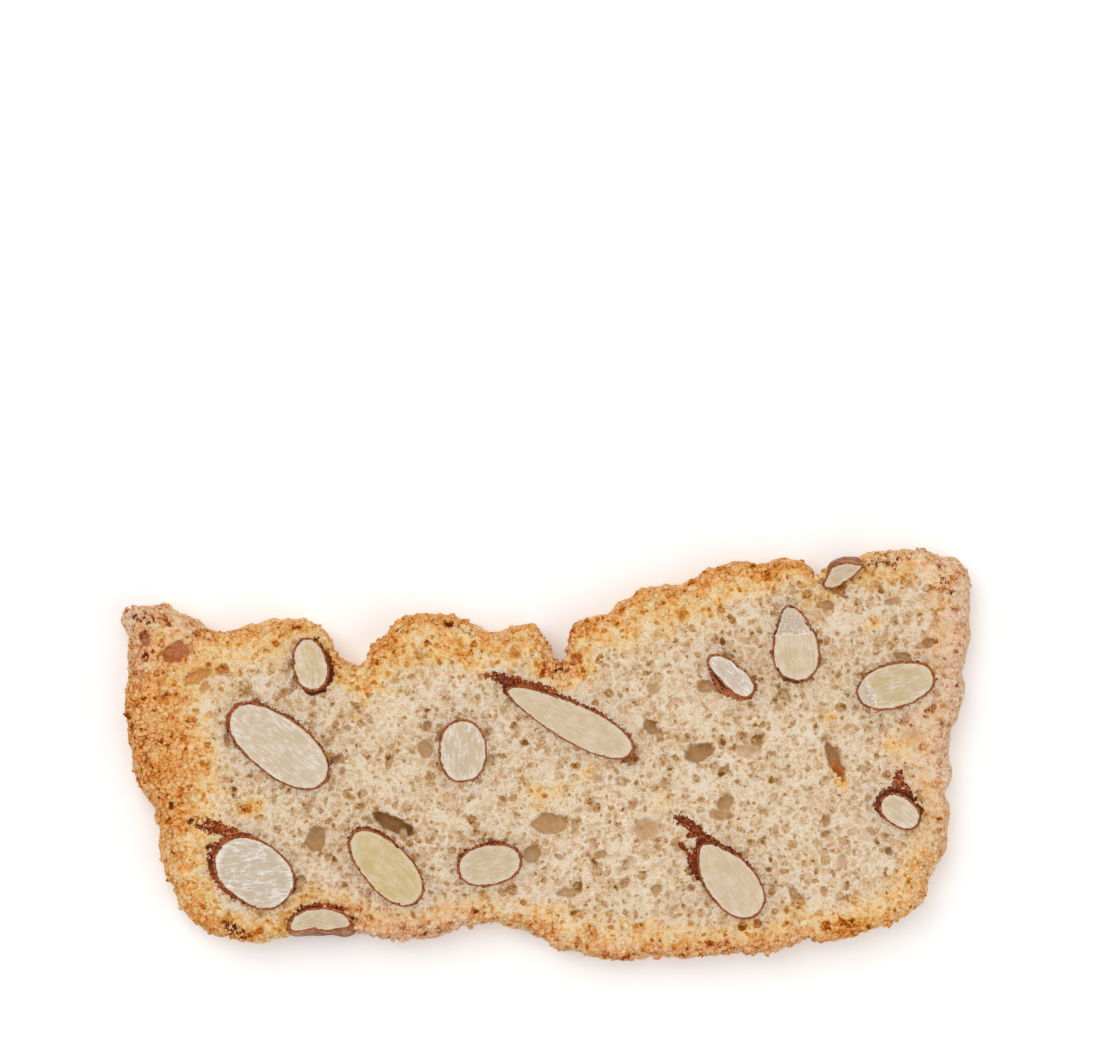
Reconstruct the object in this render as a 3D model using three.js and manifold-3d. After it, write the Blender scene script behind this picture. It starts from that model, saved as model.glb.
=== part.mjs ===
// Almond wafer: one slice of an airy almond loaf, cut thin and toasted. It lies on its back cut
// face. Millimetres: X runs along the slice, Y towards the loaf's domed top crust, Z up through
// the slice's thickness. The body of crumb and crust is one solid; each almond that the knife
// went through is a solid of its own, set in a pocket of the crumb.

import * as THREE from "three";
import { mergeVertices } from "three/addons/utils/BufferGeometryUtils.js";
import Module from "manifold-3d";

// ---- Driving dimensions (mm, degrees) ----

const THICKNESS = 9.6; // between the two cut faces
const ALMOND_GAP = 0.32; // clearance between an almond and its pocket

// The crust bulges out between the cut faces: how far each face's rim lies inside the widest
// line, on each side of the slice, and the share of the thickness at which it is widest.
const FRONT_INSET = { left: 2.8, right: 2.6, top: 1.3, bottom: 1.6 };
const BACK_INSET = 0.9;
const WIDEST_AT = 0.36;
const RING_HEIGHTS = [0, 0.16, 0.42, 0.74, 1]; // shares of the thickness

// The edge of the slice without its dents, anticlockwise from the lower left corner.
const LOWER_CRUST = [
  [-66.5, -28.2], [-61.8, -32.2], [-55, -33.8], [-40, -32.7], [-27, -33.2], [-18.6, -32.8],
  [-13, -30.1], [-4, -31.9], [3, -35.7], [20, -36.8], [34, -36.2], [48, -34.4], [60, -31.6],
];
const RIGHT_END = [
  [67.6, -27.6], [70.4, -22.4], [73.2, -14], [73.8, -4], [74.4, 4], [76.3, 14], [77.1, 27], [77.2, 33.4],
];
const DOMED_TOP = [
  [73.8, 36], [66, 37.7], [56, 36.6], [45, 36], [37, 35.4], [31, 34.9], [24, 31.1], [16.5, 30.3],
  [11.6, 26.2], [6, 24.5], [-2, 23.7], [-13, 24.1], [-21, 26.2], [-29, 25.2], [-40, 24], [-50, 25.1],
  [-59.5, 22.6], [-66, 25.8], [-72.2, 27.6], [-77.9, 26.4],
];
const LEFT_END = [
  [-76.9, 20], [-77.1, 8], [-75.8, -2.5], [-71.7, -11], [-70.6, -18], [-68.9, -24],
];

// Dents and lumps along that edge: a point beside it, how far it reaches along the edge, how deep
// the edge goes in (negative) or out, and how steep its sides are (2 round, 6 like a step).
const EDGE_FEATURES = [
  { what: "bay over the upper left almond", at: [-36.6, 24.5], reach: 3.4, depth: -6.8, steep: 4 },
  { what: "slope beside the bay", at: [-31.8, 25], reach: 3.4, depth: -3.6, steep: 3 },
  { what: "saddle", at: [-9.8, 24], reach: 2.0, depth: -1.4, steep: 2 },
  { what: "split in the crust", at: [1.5, 24], reach: 2.1, depth: -7.2, steep: 6 },
  { what: "split above an almond's edge", at: [49.2, 36.2], reach: 1.6, depth: -4.8, steep: 2 },
  { what: "step before the dome", at: [13.4, 28.4], reach: 1.3, depth: 0.8, steep: 2 },
  { what: "right end, top crack", at: [75.8, 15.4], reach: 0.9, depth: -1.8, steep: 2 },
  { what: "right end, middle crack", at: [74.6, 4.8], reach: 1.1, depth: -1.3, steep: 2 },
  { what: "right end, low crack", at: [74, 0.2], reach: 1.2, depth: -1.2, steep: 2 },
  { what: "right end, shallow dent", at: [73.6, -6.8], reach: 1.5, depth: -0.9, steep: 2 },
  { what: "lower right dent", at: [70.8, -20.6], reach: 1.4, depth: -0.9, steep: 2 },
  { what: "lower crust nick", at: [47.2, -34.6], reach: 1.2, depth: -1.4, steep: 2 },
  { what: "lower crust tuck", at: [-0.8, -33.8], reach: 1.0, depth: -0.5, steep: 2 },
  { what: "upper left nick", at: [-77, 21.4], reach: 1.2, depth: -0.7, steep: 2 },
  { what: "dome dent", at: [38, 35.4], reach: 1.3, depth: -0.6, steep: 2 },
];
const EDGE_RIPPLE = 0.22; // height of the crust's fine unevenness
const EDGE_RIPPLE_WAVES = [31, 53, 79]; // waves round the whole edge
const EDGE_RIPPLE_DRIFT = 1.5; // radians that the waves move on from the back face to the front
const RING_POINTS = 190;
const FINE_STEPS = 8; // steps along the edge for each ring point, to place the points by
const NORMAL_REACH = 1 / 90; // share of the edge, to each side, that a point's normal is taken over
const CROWDING = 1.6; // how much closer ring points lie on a dent than on a plain stretch

// Almonds: middle of the cut face, its length and width, the turn of the length from +X, how
// pointed the far end is (0 blunt, 1 sharp), how deep the kernel reaches below the front face,
// and how far it leans along X and Y for each millimetre of depth.
const ALMONDS = [
  { name: "almond_01", at: [-43.2, 16.8], long: 9.7, wide: 6.3, turn: 101, point: 0.25, deep: 12, lean: [-0.1, -0.1] },
  { name: "almond_02", at: [-49, 2], long: 21.5, wide: 10.5, turn: 143, point: 0.1, deep: 8.2, lean: [0.2, 0.25] },
  { name: "almond_03", at: [-15.5, 1.1], long: 11.2, wide: 8.5, turn: 90, point: 0.1, deep: 15, lean: [-0.2, 0.1] },
  { name: "almond_04", at: [4.3, 6.4], long: 25.5, wide: 7.5, turn: 153, point: 0.8, deep: 7.6, lean: [-0.1, 0.3] },
  { name: "almond_05", at: [33.3, 14.8], long: 10.5, wide: 4.8, turn: 138, point: 0.3, deep: 6.5, lean: [-0.15, -0.1] },
  { name: "almond_06", at: [45, 20.3], long: 13.3, wide: 8.8, turn: 95, point: 0.55, deep: 14, lean: [0.1, -0.2] },
  { name: "almond_07", at: [63.2, 13], long: 14.5, wide: 8, turn: 15, point: 0.1, deep: 12, lean: [-0.15, 0.2] },
  { name: "almond_08", at: [64, -9.9], long: 8, wide: 5.4, turn: -35, point: 0.1, deep: 7, lean: [-0.2, 0.45] },
  { name: "almond_09", at: [33.2, -22.7], long: 15.5, wide: 9.2, turn: 130, point: 0.35, deep: 12, lean: [-0.35, 0.3] },
  { name: "almond_10", at: [-10.6, -19.6], long: 11.8, wide: 7.2, turn: 10, point: 0.1, deep: 13, lean: [0.1, -0.1] },
  { name: "almond_11", at: [-29.5, -20], long: 17.3, wide: 8.8, turn: 134, point: 0.3, deep: 9.2, lean: [-0.1, -0.1] },
  { name: "almond_12", at: [-53.5, -21], long: 15.5, wide: 11.3, turn: 145, point: 0.05, deep: 10.5, lean: [-0.4, 0.3] },
  { name: "almond_13", at: [-41.5, -31.2], long: 11.8, wide: 7.4, turn: 4, point: 0.1, deep: 12, lean: [0.1, -0.05] },
  { name: "almond_14", at: [54.2, 34.4], long: 10.6, wide: 4, turn: 38, point: 0.2, deep: 6, lean: [0, 0.2] },
];
const ALMOND_SQUARENESS = 2.3; // of its outline: 2 is an ellipse, more is fuller at the shoulders
const ALMOND_SINKING = 0.22; // share of its depth at which it is widest, below the front face
const TAPER_START = -0.35; // where it begins to narrow: -1 is its blunt end, 1 its far end
const SHARPEST = 0.5; // how much narrower the far end of a kernel is when point is 1
const ALMOND_SIDES = 20; // round the cut face
const ALMOND_BANDS = 7; // from the lowest to the highest point of a kernel

// Pores as large as a pea: middle of the opening, length and width, turn of the length, depth.
const PORES = [
  { what: "pit in the toasted corner", at: [-67.7, 18.8], long: 4, wide: 3.2, turn: 25, deep: 3 },
  { what: "pore beside the lower left almonds", at: [-42.2, -15], long: 5.2, wide: 4, turn: 80, deep: 3.4 },
  { what: "slot over a fallen almond", at: [-28.2, -12.2], long: 9.4, wide: 3, turn: -27, deep: 5.5 },
  { what: "wide pore under the middle", at: [0.2, -12.2], long: 7.3, wide: 4.3, turn: 3, deep: 2.8 },
  { what: "round pore right of it", at: [18, -13.3], long: 5.5, wide: 5, turn: 20, deep: 2.4 },
  { what: "shadowed pore by the middle almond", at: [-2.9, -17.6], long: 4.2, wide: 3.4, turn: 60, deep: 2.6 },
  { what: "flat pore low in the middle", at: [3.5, -24.7], long: 4.5, wide: 2, turn: 4, deep: 2 },
  { what: "pore right of the middle", at: [27.5, 0.8], long: 6.4, wide: 3.6, turn: 15, deep: 3.6 },
  { what: "long pore on the right", at: [52.2, -0.8], long: 8, wide: 2.8, turn: 115, deep: 3.8 },
  { what: "pore under the right end almond", at: [66.3, 3.6], long: 5, wide: 3.6, turn: 10, deep: 2.6 },
  { what: "pore near the lower right almond", at: [32.2, -8.6], long: 4.4, wide: 3.2, turn: 70, deep: 2.4 },
  { what: "small pore by the hull", at: [28.7, 12.7], long: 3.2, wide: 2.8, turn: 0, deep: 2.2 },
  { what: "cleft by the middle almond", at: [18.7, 5.4], long: 3.6, wide: 2.2, turn: -60, deep: 3 },
];
const PORE_SEGMENTS = 10;
const PORE_RINGS = 5;

// ---- Looks (the finished surface is made elsewhere) ----

const CRUMB_LOOK = new THREE.MeshStandardMaterial({ color: "#dcc09a", roughness: 0.92, metalness: 0 });
const ALMOND_LOOK = new THREE.MeshStandardMaterial({ color: "#decaa9", roughness: 0.55, metalness: 0 });

// ---- Solids: from three.js geometry to manifold-3d and back ----

const wasm = await Module();
wasm.setup();

function toSolid(geometry) {
  const bare = geometry.clone();
  bare.deleteAttribute("normal");
  bare.deleteAttribute("uv");
  const merged = mergeVertices(bare, 1e-4);
  const vertProperties = merged.attributes.position.array;
  const triVerts = new Uint32Array(merged.index.array);
  return new wasm.Manifold(new wasm.Mesh({ numProp: 3, vertProperties, triVerts }));
}

function toGeometry(solid) {
  const { vertProperties, triVerts } = solid.getMesh();
  const geometry = new THREE.BufferGeometry();
  geometry.setAttribute("position", new THREE.BufferAttribute(vertProperties, 3));
  geometry.setIndex(new THREE.BufferAttribute(triVerts, 1));
  const faceted = geometry.toNonIndexed();
  faceted.computeVertexNormals();
  return faceted;
}

// ---- The slice's edge ----

// Bell of height 1 round a feature's point; a higher steepness gives it a flat floor.
function influence(feature, point) {
  const distance = Math.hypot(point.x - feature.at[0], point.y - feature.at[1]);
  return Math.exp(-((distance / feature.reach) ** feature.steep));
}

// Points round the smooth edge, each with its outward normal and its place round the loop (0 to
// 1). They are picked from fine steps so that each covers the same weight, and the weight is
// greater on the dents and lumps.
function edgeStations() {
  const corners = [...LOWER_CRUST, ...RIGHT_END, ...DOMED_TOP, ...LEFT_END];
  const loop = new THREE.CatmullRomCurve3(
    corners.map(([x, y]) => new THREE.Vector3(x, y, 0)), true, "centripetal");
  const fineSteps = RING_POINTS * FINE_STEPS;
  loop.arcLengthDivisions = fineSteps;
  const finePoints = loop.getSpacedPoints(fineSteps).slice(0, fineSteps);
  const weights = finePoints.map((point) =>
    1 + CROWDING * Math.min(1, EDGE_FEATURES.reduce((sum, f) => sum + influence(f, point), 0)));
  const total = weights.reduce((sum, w) => sum + w, 0);
  const stations = [];
  let passed = 0;
  finePoints.forEach((point, i) => {
    if (passed >= (stations.length * total) / RING_POINTS) {
      stations.push({ point, normal: edgeNormal(finePoints, i), around: i / fineSteps });
    }
    passed += weights[i];
  });
  return stations;
}

// The outward normal, taken over a stretch of the edge so that it turns gently round corners.
function edgeNormal(points, i) {
  const reach = Math.round(points.length * NORMAL_REACH);
  const before = points[(i - reach + points.length) % points.length];
  const after = points[(i + reach) % points.length];
  return new THREE.Vector3(after.y - before.y, before.x - after.x, 0).normalize();
}

// How far the rim lies inside the widest line at a share of the thickness: a parabola on each
// side of the widest height, deepest at the cut faces.
function rimInset(normal, share) {
  if (share <= WIDEST_AT) return BACK_INSET * ((WIDEST_AT - share) / WIDEST_AT) ** 2;
  const alongX = normal.x > 0 ? FRONT_INSET.right : FRONT_INSET.left;
  const alongY = normal.y > 0 ? FRONT_INSET.top : FRONT_INSET.bottom;
  const atFront = alongX * normal.x ** 2 + alongY * normal.y ** 2;
  return atFront * ((share - WIDEST_AT) / (1 - WIDEST_AT)) ** 2;
}

// One point of the crust: the edge, moved along its normal by the inset, the dents and lumps, and
// a ripple that drifts round the edge with height.
function crustPoint({ point, normal, around }, share) {
  const dents = EDGE_FEATURES.reduce((sum, f) => sum + f.depth * influence(f, point), 0);
  const ripple = EDGE_RIPPLE_WAVES.reduce(
    (sum, waves, i) => sum + Math.sin(2 * Math.PI * waves * around + share * (EDGE_RIPPLE_DRIFT + i) + i), 0);
  const out = dents + EDGE_RIPPLE * ripple - rimInset(normal, share);
  return new THREE.Vector3(point.x + normal.x * out, point.y + normal.y * out, share * THICKNESS);
}

// The slice without its pockets: a ring of crust points at each height, joined by quads, and the
// two cut faces filled in.
function sliceSolid() {
  const stations = edgeStations();
  const count = stations.length;
  const rings = RING_HEIGHTS.map((share) => stations.map((station) => crustPoint(station, share)));
  const index = [];
  for (let ring = 0; ring < rings.length - 1; ring++) {
    for (let i = 0; i < count; i++) {
      const next = (i + 1) % count;
      const [a, b] = [ring * count + i, ring * count + next];
      index.push(a, b, b + count, a, b + count, a + count);
    }
  }
  const top = (rings.length - 1) * count;
  for (const [a, b, c] of THREE.ShapeUtils.triangulateShape(rings[0], [])) index.push(a, c, b);
  for (const [a, b, c] of THREE.ShapeUtils.triangulateShape(rings.at(-1), [])) {
    index.push(top + a, top + b, top + c);
  }
  const geometry = new THREE.BufferGeometry().setFromPoints(rings.flat());
  geometry.setIndex(index);
  return toSolid(geometry);
}

// ---- Almonds and pores ----

// A whole kernel: a sphere drawn out to the cut face's length and width, narrowing towards one
// end, its widest height sunk a little below the front face, and leaning with depth.
function kernelSolid({ at, long, wide, turn, point, deep, lean }, grow) {
  const sunk = deep * ALMOND_SINKING;
  const below = deep - sunk;
  const faceShare = Math.sqrt(1 - (sunk / below) ** 2);
  const geometry = new THREE.SphereGeometry(1, ALMOND_SIDES, ALMOND_BANDS);
  geometry.rotateX(Math.PI / 2); // poles along Z
  const position = geometry.attributes.position;
  const vertex = new THREE.Vector3();
  for (let i = 0; i < position.count; i++) {
    vertex.fromBufferAttribute(position, i);
    const girth = Math.hypot(vertex.x, vertex.y) || 1;
    const [across, along] = [vertex.y / girth, vertex.x / girth];
    const fuller =
      (Math.abs(along) ** ALMOND_SQUARENESS + Math.abs(across) ** ALMOND_SQUARENESS) **
      (-1 / ALMOND_SQUARENESS);
    const taper = 1 - point * SHARPEST * Math.max(0, (along - TAPER_START) / (1 - TAPER_START));
    position.setXYZ(
      i,
      vertex.x * fuller * (long / 2 / faceShare + grow),
      vertex.y * fuller * (taper * (wide / 2 / faceShare) + grow),
      vertex.z * (below + grow),
    );
  }
  geometry.rotateZ(THREE.MathUtils.degToRad(turn));
  const lying = new THREE.Matrix4().set(
    1, 0, -lean[0], at[0] + lean[0] * sunk,
    0, 1, -lean[1], at[1] + lean[1] * sunk,
    0, 0, 1, THICKNESS - sunk,
    0, 0, 0, 1);
  return toSolid(geometry.applyMatrix4(lying));
}

// A pore: the lower part of a ball, drawn out to the opening's length and width.
function poreSolid({ at, long, wide, turn, deep }) {
  const geometry = new THREE.SphereGeometry(1, PORE_SEGMENTS, PORE_RINGS);
  geometry.rotateX(Math.PI / 2);
  geometry.scale(long / 2, wide / 2, deep);
  geometry.rotateZ(THREE.MathUtils.degToRad(turn));
  geometry.translate(at[0], at[1], THICKNESS);
  return toSolid(geometry);
}

// ---- Assembly ----

const slice = sliceSolid();
let crumb = slice;
for (const pore of PORES) crumb = crumb.subtract(poreSolid(pore));
for (const almond of ALMONDS) crumb = crumb.subtract(kernelSolid(almond, ALMOND_GAP));

const wafer = new THREE.Group();

function addPart(name, solid, look) {
  const mesh = new THREE.Mesh(toGeometry(solid), look);
  mesh.name = name;
  wafer.add(mesh);
}

addPart("crumb", crumb, CRUMB_LOOK);
for (const almond of ALMONDS) addPart(almond.name, kernelSolid(almond, 0).intersect(slice), ALMOND_LOOK);

// The origin is the middle of the underside of the whole slice.
const box = new THREE.Box3().setFromObject(wafer);
const centre = box.getCenter(new THREE.Vector3());
wafer.position.set(-centre.x, -centre.y, -box.min.z);

export default wafer;
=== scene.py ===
"""Almond wafer: one toasted slice of an airy almond loaf, lying on its back cut face.

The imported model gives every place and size: the outline of the slice, its pockets and pores, and
the cut face of each almond are read from its nodes. Lengths here are millimetres and angles are
degrees, except where a comment says metres or radians; make_piece turns millimetres into Blender's
metres. The slice lies from Z = 0, its back cut face, to Z = THICKNESS, its front cut face.
"""

import itertools
import math

import bpy
import numpy as np
from mathutils.geometry import delaunay_2d_cdt
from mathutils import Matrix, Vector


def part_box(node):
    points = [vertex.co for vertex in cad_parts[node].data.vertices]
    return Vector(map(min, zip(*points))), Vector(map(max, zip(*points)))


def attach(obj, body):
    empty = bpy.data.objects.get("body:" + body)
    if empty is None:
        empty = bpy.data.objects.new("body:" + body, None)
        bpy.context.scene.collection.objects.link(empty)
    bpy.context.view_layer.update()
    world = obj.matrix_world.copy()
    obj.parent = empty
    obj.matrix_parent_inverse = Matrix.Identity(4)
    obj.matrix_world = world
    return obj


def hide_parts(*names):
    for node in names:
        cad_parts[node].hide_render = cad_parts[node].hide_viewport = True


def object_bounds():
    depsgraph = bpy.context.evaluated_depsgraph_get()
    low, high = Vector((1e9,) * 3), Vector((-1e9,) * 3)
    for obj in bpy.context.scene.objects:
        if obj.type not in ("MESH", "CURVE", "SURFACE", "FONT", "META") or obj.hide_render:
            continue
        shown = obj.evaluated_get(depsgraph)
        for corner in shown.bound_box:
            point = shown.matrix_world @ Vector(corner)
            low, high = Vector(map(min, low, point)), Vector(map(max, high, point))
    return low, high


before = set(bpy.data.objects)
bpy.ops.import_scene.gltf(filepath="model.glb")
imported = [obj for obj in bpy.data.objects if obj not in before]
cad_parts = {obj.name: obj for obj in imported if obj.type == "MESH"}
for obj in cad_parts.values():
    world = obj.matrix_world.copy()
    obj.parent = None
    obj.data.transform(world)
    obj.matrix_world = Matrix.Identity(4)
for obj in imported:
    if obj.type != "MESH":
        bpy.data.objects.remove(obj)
cad_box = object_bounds()

MM = 0.001
LOW, HIGH = (np.array(corner) / MM for corner in cad_box)
THICKNESS = HIGH[2]
WIDEST = 0.42 * THICKNESS  # height at which the crust stands out furthest
BY_FRONT, BY_BACK = THICKNESS - 0.01, 0.01  # heights at which the cut faces' outlines are read
ALMONDS = sorted(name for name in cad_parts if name.startswith("almond"))


# ---- Numbers: noise, distances, grids ----

LAYER_FALL = 0.55
AT_ONCE = 4000  # points whose distances are worked out together, to save memory
GRID_MARGIN = 2.0  # that a grid reaches beyond the slice


def noise(points, size, seed):
    """Smooth random values from -1 to 1 that change over about `size`: random numbers on a cubic
    grid, blended between the grid's points by a smooth step."""
    kinds, side = points.shape[-1], 64
    table = np.random.default_rng(seed).uniform(-1, 1, (side,) * kinds)
    cell = np.floor(points / size).astype(int)
    share = points / size - cell
    share = share * share * (3 - 2 * share)
    total = np.zeros(points.shape[:-1])
    for corner in itertools.product((0, 1), repeat=kinds):
        index = tuple((cell[..., k] + step) % side for k, step in enumerate(corner))
        weight = np.prod([share[..., k] if step else 1 - share[..., k]
                          for k, step in enumerate(corner)], axis=0)
        total += weight * table[index]
    return total


def layered_noise(points, size, seed, layers=3):
    """Noise at a size, at half of it and so on, each layer LAYER_FALL times the last."""
    strengths = [LAYER_FALL ** k for k in range(layers)]
    parts = [s * noise(points, size / 2 ** k, seed + k) for k, s in enumerate(strengths)]
    return sum(parts) / sum(strengths)


def ease(value, start, end):
    """0 before start, 1 after end, and a smooth step between them."""
    share = np.clip((value - start) / (end - start), 0, 1)
    return share * share * (3 - 2 * share)


def distance_inside(points, loop):
    """Distance from each point to a closed loop, positive inside it: the nearest of the loop's
    straight sides, and the side told by how often a ray along +X crosses the loop."""
    start, side = loop, np.roll(loop, -1, 0) - loop
    side_squared = (side ** 2).sum(1) + 1e-12
    slope = side[:, 0] / np.where(side[:, 1] == 0, 1e-9, side[:, 1])
    flat = points.reshape(-1, 2)
    result = np.empty(len(flat))
    for part in np.array_split(np.arange(len(flat)), len(flat) // AT_ONCE + 1):
        offset = flat[part, None] - start
        along = np.clip((offset * side).sum(2) / side_squared, 0, 1)
        nearest = np.sqrt(((offset - along[..., None] * side) ** 2).sum(2).min(1))
        above = offset[..., 1] < 0
        crosses = (above != np.roll(above, -1, 1)) & (offset[..., 0] < slope * offset[..., 1])
        result[part] = np.where(crosses.sum(1) % 2 == 1, nearest, -nearest)
    return result.reshape(points.shape[:-1])


class Grid:
    """A square grid of points over the slice, with a way to read its values in between."""

    def __init__(self, step):
        self.step = step
        self.start = LOW[:2] - GRID_MARGIN
        columns, rows = np.ceil((HIGH[:2] - LOW[:2] + 2 * GRID_MARGIN) / step).astype(int) + 1
        self.points = np.stack(np.meshgrid(
            self.start[0] + step * np.arange(columns),
            self.start[1] + step * np.arange(rows)), -1)
        self.shape = (rows, columns)

    def read(self, values, points):
        """Values at any points: straight-line blend of the four grid points round each."""
        place = (points - self.start) / self.step
        limit = np.array(self.shape[::-1]) - 2
        cell = np.clip(np.floor(place).astype(int), 0, limit)
        share = np.clip(place - cell, 0, 1)
        column, row = cell[..., 0], cell[..., 1]
        near = values[row, column] * (1 - share[..., 0]) + values[row, column + 1] * share[..., 0]
        far = values[row + 1, column] * (1 - share[..., 0]) + values[row + 1, column + 1] * share[..., 0]
        return near * (1 - share[..., 1]) + far * share[..., 1]


# ---- Reading the frame ----

def node_triangles(name):
    """Corners of a node's triangles: an array of triangles by corners by X, Y, Z."""
    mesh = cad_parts[name].data
    mesh.calc_loop_triangles()
    corners = np.empty(len(mesh.loop_triangles) * 3, dtype=np.int32)
    mesh.loop_triangles.foreach_get("vertices", corners)
    places = np.empty(len(mesh.vertices) * 3)
    mesh.vertices.foreach_get("co", places)
    return (places.reshape(-1, 3)[corners] / MM).reshape(-1, 3, 3)


def section_loops(name, height):
    """Where a node crosses a level plane: closed loops of points with the solid on their left,
    largest first. Each crossed triangle gives one short side, from the edge where it comes down
    through the plane to the edge where it goes up, and the sides are chained by their edges."""
    triangles = node_triangles(name)
    above = triangles[:, :, 2] > height
    crossed = above.any(1) & ~above.all(1)
    following = {}
    for corners, up in zip(triangles[crossed], above[crossed]):
        ends = {}
        for k in range(3):
            a, b = corners[k], corners[(k + 1) % 3]
            if up[k] != up[(k + 1) % 3]:
                edge = tuple(sorted((tuple(a.round(3)), tuple(b.round(3)))))
                ends[bool(up[k])] = edge, a[:2] + (b - a)[:2] * (height - a[2]) / (b[2] - a[2])
        following[ends[True][0]] = ends[False][0], ends[True][1]
    loops = []
    while following:
        edge, loop = next(iter(following)), []
        while edge in following:
            edge, point = following.pop(edge)
            loop.append(point)
        loops.append(np.array(loop))
    return sorted(loops, key=lambda loop: np.ptp(loop, axis=0).prod(), reverse=True)


def walk_loop(loop, count):
    """Points at equal distances round a closed loop."""
    closed = np.vstack([loop, loop[:1]])
    passed = np.r_[0, np.cumsum(np.hypot(*np.diff(closed, axis=0).T))]
    stops = np.linspace(0, passed[-1], count, endpoint=False)
    return np.stack([np.interp(stops, passed, closed[:, k]) for k in (0, 1)], 1)


def middle_of(loop):
    """The mean of a loop's line."""
    return walk_loop(loop, 200).mean(0)


def smooth_round(values, reach):
    """A closed row of values averaged with a bell of that reach, in places along the row."""
    waves = np.fft.fftfreq(len(values))
    bell = np.exp(-2 * (math.pi * waves * reach) ** 2)
    if values.ndim == 2:
        bell = bell[:, None]
    return np.fft.ifft(np.fft.fft(values, axis=0) * bell, axis=0).real


# ---- Making pieces ----

def make_piece(name, points, faces, material, shades):
    """A mesh object at the origin from points and triangles, smooth shaded, riding on the wafer.
    shades are numbers for each point that its material reads by name."""
    mesh = bpy.data.meshes.new(name)
    mesh.vertices.add(len(points))
    mesh.vertices.foreach_set("co", (points * MM).ravel())
    mesh.loops.add(faces.size)
    mesh.loops.foreach_set("vertex_index", faces.astype(np.int32).ravel())
    mesh.polygons.add(len(faces))
    mesh.polygons.foreach_set("loop_start", np.arange(0, faces.size, 3, dtype=np.int32))
    mesh.polygons.foreach_set("loop_total", np.full(len(faces), 3, dtype=np.int32))
    mesh.polygons.foreach_set("use_smooth", np.ones(len(faces), dtype=bool))
    for shade, values in shades.items():
        layer = mesh.attributes.new(shade, "FLOAT", "POINT")
        layer.data.foreach_set("value", np.asarray(values, dtype=np.float32))
    mesh.update(calc_edges=True)
    mesh.validate()
    mesh.materials.append(material)
    piece = bpy.data.objects.new(name, mesh)
    bpy.context.scene.collection.objects.link(piece)
    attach(piece, "root")
    return piece


def quads(rows, columns):
    """Triangles between closed rings of points: each of the rows is a ring."""
    row, column = np.meshgrid(np.arange(rows - 1), np.arange(columns), indexing="ij")
    after = (column + 1) % columns
    a, b = row * columns + column, row * columns + after
    c, d = b + columns, a + columns
    return np.concatenate([np.stack([a, b, c], -1).reshape(-1, 3), np.stack([a, c, d], -1).reshape(-1, 3)])


# ---- Materials: shader maths as expressions ----

class Socket:
    """A number inside a material. Arithmetic on it adds Math nodes."""

    def __init__(self, shader, output):
        self.shader, self.output = shader, output

    def math(self, operation, *others):
        """A Math node on this number and others."""
        inputs = dict(enumerate((self, *others)))
        return self.shader.node("ShaderNodeMath", {"operation": operation}, inputs)

    def __add__(self, other):
        return self.math("ADD", other)

    def __sub__(self, other):
        return self.math("SUBTRACT", other)

    def __mul__(self, other):
        return self.math("MULTIPLY", other)

    def __rsub__(self, other):
        return self.shader.number(other).math("SUBTRACT", self)

    __radd__, __rmul__ = __add__, __mul__

    def ease(self, start, end):
        """0 before start, 1 after end, and a smooth step between them."""
        return self.shader.node("ShaderNodeMapRange", {"interpolation_type": "SMOOTHSTEP"},
                                {"Value": self, "From Min": start, "From Max": end})


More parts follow.
